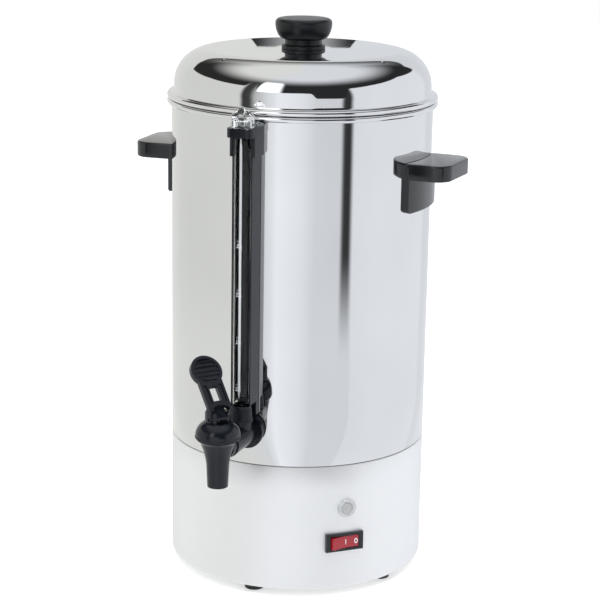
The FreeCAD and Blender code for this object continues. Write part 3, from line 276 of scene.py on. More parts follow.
def steelFinish(name, colours, roughness, waves, grain, metal=1.0, seam=None):
    # drawn steel: long shallow waves, fine haze, and faint grain along the rolling direction;
    # above the seam's height the colour turns near-black, a painted shade for the shadow in the narrow gap
    # at the joggle
    material, tree, shader, where = startMaterial(name)
    cloud = noise(tree, where, 9, 3)
    streak = noise(tree, where, 60, 4, grain["stretch"])
    colour = blendColours(tree, between(tree, cloud, 0, 1), *colours)
    if seam:
        # painted shade: the sheet above the seam's height is coloured near-black for the gap's shadow
        height = addNode(tree, "ShaderNodeSeparateXYZ", {0: where}).outputs["Z"]
        gapShaded = between(tree, height, 0, 1, seam["height"], seam["height"] + seam["blur"])
        colour = blendColours(tree, gapShaded, colour, seam["gapShade"])
    tree.links.new(colour, shader.inputs["Base Color"])
    haze = mathNode(tree, "ADD", between(tree, streak, -grain["haze"], grain["haze"]),
                    between(tree, cloud, *roughness))
    tree.links.new(haze, shader.inputs["Roughness"])
    shader.inputs["Metallic"].default_value = metal
    long = noise(tree, where, waves["scale"], 1)
    both = mathNode(tree, "MULTIPLY_ADD", streak, grain["depth"], long)
    bump(tree, shader, both, 1, waves["depth"] * mm)
    return material


def plasticFinish(name, colours, roughness, texture, coat=0.0, seeThrough=0.0, gloss=0.5):
    # moulded plastic: colour that drifts a little, gloss that varies, and the mould's fine skin
    material, tree, shader, where = startMaterial(name)
    cloud = noise(tree, where, 25, 3)
    fine = noise(tree, where, texture["scale"], 2)
    tree.links.new(blendColours(tree, between(tree, cloud, 0, 1), *colours), shader.inputs["Base Color"])
    tree.links.new(between(tree, noise(tree, where, 140, 3), *roughness), shader.inputs["Roughness"])
    shader.inputs["Coat Weight"].default_value = coat
    shader.inputs["Coat Roughness"].default_value = 0.08
    shader.inputs["Transmission Weight"].default_value = seeThrough
    shader.inputs["Specular IOR Level"].default_value = gloss
    shader.inputs["IOR"].default_value = 1.49
    bump(tree, shader, fine, texture["strength"], 0.05 * mm)
    return material


def clearFinish(name, tint, roughness, ior, weight):
    # glass or clear plastic, with a thin uneven film and a slightly wavy surface
    material, tree, shader, where = startMaterial(name)
    film = noise(tree, where, 60, 3)
    tree.links.new(blendColours(tree, between(tree, film, 0, 1), tint, [min(1, c * 1.03) for c in tint]),
                   shader.inputs["Base Color"])
    tree.links.new(between(tree, film, *roughness), shader.inputs["Roughness"])
    shader.inputs["Transmission Weight"].default_value = weight
    shader.inputs["IOR"].default_value = ior
    bump(tree, shader, noise(tree, where, 90, 1), 0.15, 0.05 * mm)
    return material


finishes = {
    "mirrorSteel": steelFinish("mirrorSteel", [(0.70, 0.70, 0.71), (0.74, 0.74, 0.745)], (0.035, 0.055),
                               {"scale": 7, "depth": 0.05},
                               {"stretch": (1, 1, 0.05), "haze": 0.006, "depth": 0.004}),
    "satinSteel": steelFinish("satinSteel", [(0.82, 0.825, 0.83), (0.86, 0.86, 0.865)], (0.46, 0.50),
                              {"scale": 7, "depth": 0.04},
                              {"stretch": (0.05, 0.05, 1), "haze": 0.01, "depth": 0.005}, metal=0.6,
                              # the seam's near-black colour is painted shade for the shadow in the gap at
                              # the joggle
                              seam={"height": 0.12545, "blur": 0.0002, "gapShade": (0.06, 0.06, 0.062)}),
    "innerSteel": steelFinish("innerSteel", [(0.66, 0.66, 0.655), (0.72, 0.72, 0.715)], (0.36, 0.44),
                              {"scale": 12, "depth": 0.06},
                              {"stretch": (0.05, 0.05, 1), "haze": 0.02, "depth": 0.02}, metal=0.5),
    "plainSteel": steelFinish("plainSteel", [(0.50, 0.50, 0.49), (0.58, 0.57, 0.56)], (0.3, 0.42),
                              {"scale": 30, "depth": 0.1},
                              {"stretch": (1, 0.1, 1), "haze": 0.05, "depth": 0.1}),
    "brewAluminium": steelFinish("brewAluminium", [(0.72, 0.72, 0.73), (0.80, 0.80, 0.80)], (0.26, 0.36),
                                 {"scale": 20, "depth": 0.1},
                                 {"stretch": (0.1, 0.1, 1), "haze": 0.05, "depth": 0.08}),
    "brassPins": steelFinish("brassPins", [(0.72, 0.55, 0.26), (0.80, 0.63, 0.33)], (0.25, 0.35),
                             {"scale": 40, "depth": 0.1},
                             {"stretch": (1, 0.2, 1), "haze": 0.04, "depth": 0.1}),
    "glossBlack": plasticFinish("glossBlack", [(0.004, 0.005, 0.007), (0.008, 0.009, 0.011)], (0.10, 0.18),
                                {"scale": 700, "strength": 0.10}, coat=0.1),
    "knobBlack": plasticFinish("knobBlack", [(0.005, 0.006, 0.008), (0.009, 0.010, 0.013)], (0.30, 0.38),
                               {"scale": 900, "strength": 0.25}, gloss=0.35),
    "satinBlack": plasticFinish("satinBlack", [(0.004, 0.005, 0.009), (0.008, 0.010, 0.015)], (0.14, 0.22),
                                {"scale": 1100, "strength": 0.25}, gloss=0.34),
    "darkSteel": steelFinish("darkSteel", [(0.030, 0.030, 0.032), (0.055, 0.055, 0.058)], (0.35, 0.45),
                             {"scale": 30, "depth": 0.1},
                             {"stretch": (1, 0.1, 1), "haze": 0.05, "depth": 0.1}),
    "rubberBlack": plasticFinish("rubberBlack", [(0.012, 0.012, 0.013), (0.022, 0.022, 0.023)], (0.60, 0.75),
                                 {"scale": 1500, "strength": 0.6}),
    "whitePlastic": plasticFinish("whitePlastic", [(0.74, 0.74, 0.72), (0.82, 0.82, 0.80)], (0.35, 0.5),
                                  {"scale": 900, "strength": 0.2}),
    "whitePrint": plasticFinish("whitePrint", [(0.84, 0.85, 0.87), (0.92, 0.93, 0.95)], (0.3, 0.4),
                                {"scale": 1600, "strength": 0.3}),
    "redPlastic": plasticFinish("redPlastic", [(0.36, 0.002, 0.014), (0.52, 0.008, 0.022)], (0.10, 0.16),
                                {"scale": 600, "strength": 0.08}, coat=0.5, seeThrough=0.2),
    "clearPlastic": clearFinish("clearPlastic", (0.93, 0.95, 0.96), (0.0, 0.03), 1.49, 1.0),
    "lampPlastic": clearFinish("lampPlastic", (0.90, 0.91, 0.92), (0.12, 0.2), 1.45, 0.6),
    "gaugeGlass": clearFinish("gaugeGlass", (0.97, 0.99, 0.99), (0.0, 0.03), 1.12, 1.0),
}
print("finishes:", len(finishes))

# every CAD node has a finish, also where a finer piece stands for it further down
nodeFinishes = {
    "innerSteel": ["tank_bottom"],
    "plainSteel": ["base_plate", "base_studs", "base_nuts", "foot_screws", "foot_nuts", "knob_screw",
                   "handle_screws", "handle_washers", "tap_spring", "bracket_screw", "element_clamp",
                   "clamp_stud", "clamp_nut", "inlet_screws", "terminal_screws", "warming_element",
                   "thermostat"],
    "darkSteel": ["lever_pin"],
    "brewAluminium": ["pump_tube", "pump_bell", "basket_seat", "basket", "basket_lid", "pump_element"],
    "mirrorSteel": ["tank_shell", "lid"],
    "satinSteel": ["base_skirt"],
    "glossBlack": ["left_handle", "right_handle", "inlet_housing", "switch_housing"],
    "knobBlack": ["lid_knob", "knob_collar"],
    "satinBlack": ["tap_body", "tap_bonnet", "tap_lever", "gauge_tee", "gauge_nut", "gauge_guard",
                   "gauge_bracket", "shank_nut", "tap_stem"],
    "whitePlastic": ["lamp_body", "lamp_nut", "terminal_block", "thermal_fuse"],
    "rubberBlack": ["feet", "shank_seal_outer", "shank_seal_inner", "gauge_seals", "seat_cup"],
    "gaugeGlass": ["gauge_glass"],
    "clearPlastic": ["gauge_cap"],
    "lampPlastic": ["lamp_lens", "lamp_bezel"],
    "redPlastic": ["switch_rocker"],
    "brassPins": ["inlet_pins"],
}
for finish, members in nodeFinishes.items():
    for member in members:
        nodes[member].data.materials.clear()
        nodes[member].data.materials.append(finishes[finish])
assert sorted(sum(nodeFinishes.values(), [])) == sorted(nodes), "a node has no finish"


# the tank and the skirt share a radius; heights are above the floor
vessel = {"radius": 120, "sheet": 0.8, "bead": 2.55, "beadRing": 121.75, "tankFoot": 126.2, "tankTop": 443.0,
          "skirtFoot": 7, "skirtTop": 125.4, "skirtEdge": 3, "lip": 112, "lipEdge": 0.4, "joggle": 2.4,
          "slip": 0.1, "broken": 0.3, "turns": 320}


def tankProfile(v):
    # a straight wall, a bead that is part of a circle rolled over its top, and the wall's inside down again
    radius, low, broken = v["radius"], v["tankFoot"], v["broken"]
    centre = v["beadRing"], v["tankTop"] - v["bead"]
    tuck = centre[1] - math.sqrt(v["bead"] ** 2 - (v["beadRing"] - radius) ** 2)
    start = math.degrees(math.atan2(tuck - centre[1], radius - centre[0]))
    wall = np.column_stack([np.full(8, radius), np.linspace(low + broken, tuck, 8)])
    inside = np.column_stack([np.full(5, radius - v["sheet"]), np.linspace(centre[1], low, 5)])
    return np.concatenate([[(radius - broken, low)], wall[:-1],
                           arcPoints(centre, v["bead"], start, 180, 28), inside[1:]])


def skirtProfile(v):
    # a straight wall, its foot rounded in to a lip, and a joggle that stands up inside the tank's foot
    radius, sheet, edge, foot = v["radius"], v["sheet"], v["skirtEdge"], v["skirtFoot"]
    inner, high, broken, lipEdge = radius - sheet, v["skirtTop"], v["broken"], v["lipEdge"]
    joggle, joggleTop = inner - v["slip"], high + v["joggle"]
    wall = np.column_stack([np.full(6, radius), np.linspace(foot + edge, high - broken, 6)])
    rim = [(radius - broken, high), (joggle, high), (joggle, joggleTop), (joggle - sheet, joggleTop),
           (joggle - sheet, high - sheet), (inner, high - sheet), (inner, foot + edge)]
    centre = radius - edge, foot + edge
    lip = [(v["lip"], foot + sheet), (v["lip"] - lipEdge, foot + lipEdge), (v["lip"], foot)]
    return np.concatenate([arcPoints(centre, edge, -90, 0, 10), wall[1:], rim,
                           arcPoints(centre, edge - sheet, 0, -90, 8), lip])


def cutter(name, *parts):
    # a hidden solid that openings are cut with
    mesh = bpy.data.meshes.new(name)
    points, faces = bundle(*parts)
    mesh.from_pydata((points * mm).tolist(), [], faces)
    tidyMesh(mesh, 1e-7)
    made = bpy.data.objects.new(name, mesh)
    bpy.context.scene.collection.objects.link(made)
    return made


def cutAway(piece, tool):
    # takes the cutter out of the piece for good, and removes the cutter
    change = piece.modifiers.new("openings", "BOOLEAN")
    change.operation, change.solver, change.object = "DIFFERENCE", "EXACT", tool
    drilled = bpy.data.meshes.new_from_object(piece.evaluated_get(bpy.context.evaluated_depsgraph_get()))
    piece.modifiers.clear()
    drilled.name = piece.name
    piece.data = drilled
    bpy.data.objects.remove(tool)


def skirtOpenings(v, s):
    # windows for the switch and the inlet, and a round hole for the lamp
    near, far = v["radius"] - s["inwards"], v["radius"] + s["outwards"]
    tools = []
    for azimuth, height, wide, tall in s["windows"]:
        corners = [(-wide / 2, -far), (wide / 2, -far), (wide / 2, -near), (-wide / 2, -near)]
        tools.append(swung(slab(corners, height - tall / 2, height + tall / 2), azimuth))
    for azimuth, height, radius in s["holes"]:
        ring = arcPoints((0, height), radius, 0, 352.5, 48)
        tools.append(swung(outward(slab(ring, near, far)), azimuth))
    return cutter("skirtOpenings", *tools)


def lineInside(piece, finish, within):
    # the faces inside a radius that look inwards or down get a duller finish
    mesh = piece.data
    middle, normal = np.zeros(len(mesh.polygons) * 3), np.zeros(len(mesh.polygons) * 3)
    mesh.polygons.foreach_get("center", middle)
    mesh.polygons.foreach_get("normal", normal)
    middle, normal = middle.reshape(-1, 3), normal.reshape(-1, 3)
    reach = np.linalg.norm(middle[:, :2], axis=1)
    inwards = (middle[:, :2] * normal[:, :2]).sum(1) / np.maximum(reach, 1e-6) < -0.3
    inside = (reach < within * mm) & (inwards | (normal[:, 2] < -0.5))
    mesh.materials.append(finish)
    mesh.polygons.foreach_set("material_index", inside.astype(np.int32))
    mesh.update()


# a window is its azimuth, height, width and tallness, and a hole is its azimuth, height and radius
skirtFittings = {"windows": [(43, 52.4, 30, 14), (180, 42, 30, 22)], "holes": [(43.9, 84.6, 5.6)],
                 "inwards": 12, "outwards": 8}

tankPiece = addPiece("tankWall", lathe(tankProfile(vessel), vessel["turns"]), "urn", finishes["mirrorSteel"],
                     ["tank_shell"], 50)
lineInside(tankPiece, finishes["innerSteel"], vessel["radius"] - 0.4)
skirtPiece = addPiece("baseSkirt", lathe(skirtProfile(vessel), vessel["turns"]), "urn",
                      finishes["satinSteel"], ["base_skirt"], 50)
cutAway(skirtPiece, skirtOpenings(vessel, skirtFittings))

lidShape = {"radius": 118, "sheet": 0.8, "skirt": 435.2, "seat": 443.4, "bead": 2.55, "beadRing": 121.75,
            "wallTop": 456, "shoulder": 31.8, "hole": 2.1, "broken": 0.4,
            "ventRing": 99, "ventRadius": 1.7, "ventAzimuth": 66.4, "drill": (450, 495)}


def lidProfile(s):
    # a short skirt, a half-round bead, an upright wall, a quarter circle to the flat top, and the inside
    flat, top, inner = s["radius"] - s["shoulder"], s["wallTop"] + s["shoulder"], s["radius"] - s["sheet"]
    ring, beadTop = (s["beadRing"], s["seat"] + s["bead"]), s["seat"] + 2 * s["bead"]
    return np.concatenate([
        [(inner, s["skirt"]), (s["radius"], s["skirt"]), (s["radius"], s["seat"])],
        arcPoints(ring, s["bead"], -90, 90, 22), [(s["radius"] + s["broken"], beadTop)],
        np.column_stack([np.full(4, s["radius"]), np.linspace(beadTop + s["broken"], s["wallTop"], 4)]),
        arcPoints((flat, s["wallTop"]), s["shoulder"], 0, 90, 64)[1:],
        np.column_stack([np.linspace(flat, s["hole"], 24)[1:], np.full(23, top)]),
        np.column_stack([np.linspace(s["hole"], flat, 12), np.full(12, top - s["sheet"])]),
        arcPoints((flat, s["wallTop"]), s["shoulder"] - s["sheet"], 90, 0, 30)[1:]])


def lidVents(s):
    # four small drills, standing through the lid's shoulder
    ring = arcPoints((0, 0), s["ventRadius"], 0, 345, 24)
    drill = moved(slab(ring, *s["drill"]), (0, -s["ventRing"], 0))
    return cutter("lidVents", *[swung(drill, s["ventAzimuth"] + 90 * k) for k in range(4)])


lidPiece = addPiece("lidDome", lathe(lidProfile(lidShape), vessel["turns"]), "lid", finishes["mirrorSteel"],
                    ["lid"], 50)
cutAway(lidPiece, lidVents(lidShape))
lineInside(lidPiece, finishes["innerSteel"], lidShape["radius"] - 0.4)
print("vessel made")


# the knob is a bowl on a short neck, and its collar stands on the lid
knobShape = {"foot": 491.5, "neck": 17, "neckRound": 1.5, "neckEdge": 0.4, "neckTop": 496.7, "bowl": 18.5,
             "swell": (0.9, 0.85), "radius": 26, "top": 516.1, "round": 4.2, "crown": 0.7,
             "collar": 20, "collarRound": 1.2, "collarEdge": 0.3, "collarHole": 2.1, "lidTop": 487.8}


def knobProfile(s):
    # the bowl swells from the neck to the rim like a quarter of an ellipse, and the face is a shallow crown
    rim, edge = (s["radius"] - s["round"], s["top"] - s["crown"] - s["round"]), s["neckEdge"]
    belly = np.linspace(0, 1, 22)
    radius = s["bowl"] + (s["radius"] - s["bowl"]) * np.sin(belly * math.pi / 2) ** s["swell"][0]
    height = s["neckTop"] + (rim[1] - s["neckTop"]) * (1 - np.cos(belly * math.pi / 2)) ** s["swell"][1]
    face = np.linspace(1, 0, 10)[1:]
    return np.concatenate([
        [(0, s["foot"]), (s["neck"] - edge, s["foot"]), (s["neck"], s["foot"] + edge)],
        arcPoints((s["neck"] + s["neckRound"], s["neckTop"]), s["neckRound"], 180, 120, 5),
        np.column_stack([radius, height]),
        arcPoints(rim, s["round"], 4, 86, 14),
        np.column_stack([face * (s["radius"] - s["round"]), s["top"] - s["crown"] * face ** 2])])


def collarProfile(s):
    # a flat ring round the knob's screw, its upper rim a quarter circle
    low, high, r, edge = s["lidTop"], s["foot"], s["collar"], s["collarEdge"]
    centre = r - s["collarRound"], high - s["collarRound"]
    return np.concatenate([[(s["collarHole"], low), (r - edge, low), (r, low + edge)],
                           arcPoints(centre, s["collarRound"], 0, 90, 7), [(s["collarHole"], high)]])


addPiece("knobGrip", lathe(knobProfile(knobShape), 192), "lid", finishes["knobBlack"],
         ["lid_knob"])
addPiece("knobFoot", lathe(collarProfile(knobShape), 160), "lid", finishes["knobBlack"],
         ["knob_collar"])
print("knob made")


# azimuths are in degrees from the front, growing towards the right handle
handleShape = {"azimuth": 86.8, "half": 33, "flare": 1, "straight": 6, "reach": 155.5, "top": 396.6,
               "thick": 14.5, "corner": 15, "edge": 1.5, "tank": 120, "plate": 4.5, "plateEdge": 1.2,
               "plateDrop": 3, "plateDeep": 38, "foot": 350.9, "footCorner": 5}


def handleSlab(s):
    # the grip from above: an arc against the tank, sides that flare a little, and two round corners
    across = np.linspace(-s["half"], s["half"], 25)
    hug = np.column_stack([across, -np.sqrt(s["tank"] ** 2 - across ** 2)])
    tip, near = s["half"] + s["flare"], -s["tank"] - s["straight"]
    front = [(tip, near, 0), (tip, -s["reach"], s["corner"]), (-tip, -s["reach"], s["corner"]),
             (-tip, near, 0)]
    corners = roundedLoop([(s["half"], hug[-1, 1], 0)] + front + [(-s["half"], hug[0, 1], 0)], 14)
    return slab(np.concatenate([hug[1:-1], corners]), s["top"] - s["thick"], s["top"], s["edge"], 6)


def handlePlate(s):
    # a plate that hugs the tank: its face drops to its rim over the last millimetre, as a quarter circle
    edge, deep, rim = s["plateEdge"], s["plateDeep"], [0, 0.1, 0.3, 0.6, 0.9, 1.2]
    near = np.concatenate([rim, np.linspace(1.8, s["half"], 12)])
    along = np.concatenate([near - s["half"], (s["half"] - near[:-1])[::-1]])
    down = np.concatenate([rim, np.linspace(2, deep, 14)])
    past = np.maximum(np.abs(along) - (s["half"] - s["footCorner"]), 0)
    low = s["foot"] + s["footCorner"] - np.sqrt(np.maximum(s["footCorner"] ** 2 - past ** 2, 0))
    height = low[None] + down[:, None] * (s["top"] - s["plateDrop"] - low[None]) / deep
    inside = np.minimum(np.broadcast_to(s["half"] - np.abs(along)[None], height.shape), height - low[None])
    drop = np.minimum(inside, edge)
    proud = s["plate"] - edge + np.sqrt(np.maximum(edge ** 2 - (edge - drop) ** 2, 0))
    bend = np.broadcast_to(along[None] / s["tank"], height.shape)

    def wrapped(distance):
        radius = s["tank"] + distance
        return np.stack([radius * np.sin(bend), -radius * np.cos(bend), height], -1)
    return shell(wrapped(proud), wrapped(np.zeros_like(proud)))


for side, node in ((-1, "left_handle"), (1, "right_handle")):
    grip = swung(handleSlab(handleShape), side * handleShape["azimuth"])
    plate = swung(handlePlate(handleShape), side * handleShape["azimuth"])
    word = "left" if side < 0 else "right"
    addPiece(word + "HandleGrip", grip, "urn", finishes["glossBlack"], [node], 40)
    addPiece(word + "HandlePlate", plate, "urn", finishes["glossBlack"], [node], 40)
print("handles made")


# the tap's own axis stands this reach in front of the urn's
tapShape = {"reach": 188, "bonnetFoot": 171.6, "bonnetRadius": 19.65, "ribs": 72, "ribHeight": 2.6,
            "ribDepth": 0.22, "bandLift": 0.3}


def bonnetBand(s):
    # a grip band round the bonnet's lower rim, rippled into fine upright ribs
    low, r = s["bonnetFoot"] + s["bandLift"], s["bonnetRadius"]
    high = low + s["ribHeight"]
    outer = [(r - 1.2, low), (r - 0.15, low + 0.15), (r + 0.08, low + 0.7), (r + 0.1, high - 0.9),
             (r - 0.2, high), (r - 1.4, high + 0.1)]

    def ripple(angle, radius, height):
        here = (radius > r - 0.4) * 1.0
        return here * s["ribDepth"] * np.sign(np.cos(angle * s["ribs"]))
    return moved(lathe(outer, s["ribs"] * 6, ripple), (0, -s["reach"], 0))


softCopy("tap_body", "tapSpout", "urn", finishes["satinBlack"], 0.25)
softCopy("tap_bonnet", "tapBonnet", "urn", finishes["satinBlack"], 0.3)
softCopy("tap_lever", "tapLever", "tap_lever", finishes["satinBlack"], 0.35)
addPiece("bonnetBand", bonnetBand(tapShape), "urn", finishes["satinBlack"], (), 25)
softCopy("gauge_tee", "gaugeTee", "urn", finishes["satinBlack"], 0.3)
print("tap made")


# the gauge stands upright in front of the tank, its nut at the foot and its cap at the top
gaugeShape = {"out": 139.5, "tube": 7.5, "nutLow": 172, "nutTop": 187.5, "nutLowRadius": 11.25,
              "nutHighRadius": 9.5, "nutBore": 7.65, "nutHollow": 8.7, "ribs": 44, "ribDepth": 0.3,
              "marks": {"3 L": 202.5, "5 L": 245.5, "7 L": 288.2, "9 L": 331.6},
              "markTurn": 8, "markHeight": 5.2, "markGap": 0.8, "tick": (2.6, 0.35), "printLift": 0.04,
              "stripeTurn": 36, "stripeWidth": 2.3, "stripeEnds": (190.5, 426.5), "stripeSkin": (5.9, 5.55),
              "capFlats": 19, "capLow": 435.5, "capStraight": 446, "capTop": 452.6, "capRoof": 442,
              "capHole": 7.9, "capEdge": 0.4}


def nutProfile(s):
    # two straight bands with a cone between them, round a stepped bore
    low, high, foot, top = s["nutLowRadius"], s["nutHighRadius"], s["nutLow"], s["nutTop"]
    return [(s["nutHollow"], foot), (low - 0.5, foot), (low, foot + 0.5), (low, foot + 1.7),
            (low - 0.5, foot + 2.2), (low - 0.7, foot + 2.6), (high + 0.35, top - 2.6), (high, top - 2.2),
            (high, top - 0.5), (high - 0.5, top), (s["nutBore"], top), (s["nutBore"], top - 3),
            (s["nutHollow"], top - 4)]


def nutRipple(angle, radius, height):
    # flutes on the cone only, where the cosine's size goes up and down round the nut
    s = gaugeShape
    inBand = (height > s["nutLow"] + 2.4) & (height < s["nutTop"] - 2.4) & (radius > 9)
    return inBand * s["ribDepth"] * (np.abs(np.cos(angle * s["ribs"] / 2)) - 0.5)


def capShape(s, count=72):
    # six flats and a six-sided roof, with a round hole from below for the glass
    corner, edge = s["capFlats"] / math.sqrt(3), s["capEdge"]
    around = np.linspace(0, 2 * math.pi, count, endpoint=False)
    # the distance to the middle of the nearest side gives a hexagon's radius at every angle
    hexagon = corner * math.cos(math.pi / 6) / np.cos((around % (math.pi / 3)) - math.pi / 6)
    levels = [(1 - edge / corner, s["capLow"]), (1, s["capLow"] + edge), (1, s["capStraight"] - 0.3),
              (1 - 0.3 / corner, s["capStraight"] + 0.1), (0.09, s["capTop"] - 0.2), (0.04, s["capTop"]),
              (0, s["capTop"])]
    hole = [(0, s["capRoof"]), (s["capHole"] - edge, s["capRoof"]), (s["capHole"], s["capRoof"] - edge),
            (s["capHole"], s["capLow"])]
    radius = np.concatenate([[r * hexagon for r, _ in levels], [np.full(count, r) for r, _ in hole]])
    height = np.array([z for _, z in levels + hole])[:, None] + np.zeros(count)
    points = np.stack([radius * np.cos(around), radius * np.sin(around), height], -1)
    return points.reshape(-1, 3), gridFaces(len(points), count, True, True)


def onTube(flat, s, turn, lift):
    # wraps flat artwork (along, up) round the sight glass, to face an azimuth
    angle = math.radians(turn) + flat[:, 0] / s["tube"]
    radius = s["tube"] + lift
    return np.stack([radius * np.sin(angle), -s["out"] - radius * np.cos(angle), flat[:, 1]], -1)


def levelMark(word, height, s):
    # a short tick and its figure, read from below upwards
    text = bpy.data.curves.new("mark", "FONT")
    text.body, text.size, text.align_x, text.align_y = word, s["markHeight"], "LEFT", "CENTER"
    holder = bpy.data.objects.new("mark", text)
    bpy.context.scene.collection.objects.link(holder)
    flat = bpy.data.meshes.new_from_object(holder.evaluated_get(bpy.context.evaluated_depsgraph_get()))
    bpy.data.objects.remove(holder)
    points = np.zeros(len(flat.vertices) * 3)
    flat.vertices.foreach_get("co", points)
    points = points.reshape(-1, 3)
    faces = [list(p.vertices) for p in flat.polygons]
    upright = np.column_stack([-points[:, 1], points[:, 0] + height + s["markGap"]])
    half, thick = s["tick"]
    tick = np.array([(x, height + z) for z in (-thick, thick) for x in np.linspace(-half, half, 9)])
    art = onTube(upright, s, s["markTurn"], s["printLift"]), faces
    bar = onTube(tick, s, s["markTurn"], s["printLift"]), gridFaces(2, 9)
    return bundle(art, bar)


def stripeAndHighlight(s):
    # a white line inside the back of the sight glass, running to a point at both ends: partly a white
    # stripe, partly a painted highlight copying the glass's bright streak
    height = np.concatenate([np.linspace(191, 199, 6), np.linspace(205, 412, 20), np.linspace(418, 426, 6)])
    low, high = s["stripeEnds"]
    width = s["stripeWidth"] * np.clip(np.minimum(height - low, high - height) / 9, 0.04, 1)
    across = np.linspace(-0.5, 0.5, 5)
    angle = math.radians(s["stripeTurn"] + 180) + across[None] * width[:, None] / 5.6
    up = np.repeat(height[:, None], 5, 1)
    return [np.stack([r * np.sin(angle), -s["out"] - r * np.cos(angle), up], -1) for r in s["stripeSkin"]]


gaugeAxis = (0, -gaugeShape["out"], 0)
nut = moved(lathe(nutProfile(gaugeShape), gaugeShape["ribs"] * 8, nutRipple), gaugeAxis)
addPiece("gaugeNut", nut, "urn", finishes["satinBlack"], ["gauge_nut"], 40)
softCopy("gauge_glass", "sightGlass", "urn", finishes["gaugeGlass"])
softCopy("gauge_guard", "gaugeGuard", "urn", finishes["satinBlack"], 0.25)
softCopy("gauge_bracket", "gaugeBracket", "urn", finishes["satinBlack"], 0.6)
addPiece("gaugeCap", moved(capShape(gaugeShape), gaugeAxis), "gauge_cap", finishes["clearPlastic"],
         ["gauge_cap"], 12)
marks = [levelMark(word, height, gaugeShape) for word, height in gaugeShape["marks"].items()]
addPiece("levelMarks", bundle(*marks), "urn", finishes["whitePrint"])
# partly a white stripe, partly a painted highlight along the sight glass
addPiece("stripeAndHighlight", shell(*stripeAndHighlight(gaugeShape)), "urn", finishes["whitePrint"])
print("gauge made")


# five rubber feet on a ring, each with a recess for its screw
footShape = {"ring": 103, "radius": 9, "height": 7.8, "recess": 4.6, "deep": 3, "hole": 2.1}


def footProfile(s):
    # a plain drum with a rounded foot, hollow from below up to its screw's head
    r = s["radius"]
    return np.concatenate([[(s["recess"] - 0.3, 0.3), (s["recess"], 0)], arcPoints((r - 1, 1), 1, -90, 0, 8),
                           [(r, s["height"] - 0.4), (r - 0.4, s["height"]), (s["hole"], s["height"]),
                            (s["hole"], s["deep"]), (s["recess"] - 0.3, s["deep"])]])


foot = moved(lathe(footProfile(footShape), 72), (0, -footShape["ring"], 0))
feet = [swung(foot, 72 * k) for k in range(5)]
addPiece("rubberFeet", bundle(*feet), "urn", finishes["rubberBlack"], ["feet"])
softCopy("lamp_bezel", "lampRing", "urn", finishes["lampPlastic"])
softCopy("lamp_lens", "lampLens", "urn", finishes["lampPlastic"])
softCopy("switch_housing", "switchFrame", "urn", finishes["glossBlack"], 0.4)
softCopy("switch_rocker", "redRocker", "switch_rocker", finishes["redPlastic"], 0.4)
switchShape = {"azimuth": 43, "height": 52.4, "out": 121, "tilt": 8, "crease": 0.9, "slope": 0.145,
               "barAt": 0.8, "bar": (0.4, 2.4), "ringAt": 10.9, "ring": (1.75, 2.4), "stroke": 0.7,
               "lift": 0.08, "sunk": -0.1}


def onRocker(across, up, lift, s):
    # artwork laid on the rocker's right face, tilted with it, and carried round to the switch
    out, tilt = s["crease"] + across * s["slope"] + lift, math.radians(s["tilt"])
    x = across * math.cos(tilt) + out * math.sin(tilt)
    y = across * math.sin(tilt) - out * math.cos(tilt) - s["out"]
    return np.stack(np.broadcast_arrays(x, y, up + s["height"]), -1)


def rockerMarks(s):
    # an upright bar for on, and an oval ring for off
    wide, tall = s["bar"]
    corners = np.array([[-wide, wide], [-wide, wide]]) + s["barAt"], np.array([[-tall, -tall], [tall, tall]])
    bar = shell(onRocker(*corners, s["lift"], s), onRocker(*corners, s["sunk"], s))
    turn = np.linspace(0, 2 * math.pi, 48, endpoint=False)
    inside = 1 - s["stroke"] / s["ring"][0]
    share = np.array([1, inside, inside, 1])[:, None]
    lift = np.array([s["lift"], s["lift"], s["sunk"], s["sunk"]])[:, None]
    across, up = s["ringAt"] + share * s["ring"][0] * np.cos(turn), share * s["ring"][1] * np.sin(turn)
    ring = onRocker(across, up, lift, s)
    return swung(bundle(bar, (ring.reshape(-1, 3), gridFaces(4, 48, True, True))), s["azimuth"])


addPiece("rockerMarks", rockerMarks(switchShape), "switch_rocker", finishes["whitePrint"])
softCopy("inlet_housing", "inletHousing", "urn", finishes["glossBlack"], 0.4)
print("base fittings made")


# the floor, the lamp above and the camera
studio = {"floorRadius": 5.0, "floorTones": [(0.90, 0.90, 0.90), (0.93, 0.93, 0.93)], "glow": 0.45,
          "topLight": 70, "topSize": 3.0, "topHeight": 2.6,
          "camera": (0.628654, -1.604137, 0.695437), "lens": 113.048}
# what stands round the urn, by bearing from the camera: (bearing, brightness, panel's top in degrees)
surround = [(-180, 0.80, 31), (-150, 0.86, 30), (-138, 0.86, 25), (-134, 0.84, 22), (-100, 0.85, 27),
            (-57, 0.86, 29), (-54, 0.05, 42), (-47, 0.07, 44), (-42, 0.62, 16), (-30, 0.95, 16),
            (-25, 1.04, 16), (-21, 1.16, 17), (0, 1.04, 18), (8, 0.94, 17), (12, 0.88, 2), (34, 0.84, 1),
            (37, 0.05, 2), (43, 0.04, 28), (46, 0.98, 29), (70, 1.02, 31), (110, 1.02, 32), (134, 1.0, 24),
            (140, 0.9, 23), (144, 0.86, 31), (180, 0.80, 31)]
softbox = {"bearing": (-44, -40, -24, -17), "rise": (15, 18, 40, 54), "brightness": 2.2}
# above the panels it is dark, and pale again overhead and behind; pairs of degrees are where a change runs
room = {"brightest": 1.5, "floorTone": 0.9, "floorFrom": (-13.0, -16.5), "behind": (140.0, 160.0),
        "behindRise": (26.0, 64.0), "overhead": (38.0, 64.0), "gloom": 0.03, "paleness": 0.92,
        "panelEdge": (-0.6, 0.8), "coolFrom": (-60.0, -20.0),
        "tints": [(0.985, 1.0, 0.965), (0.955, 0.985, 1.03)]}
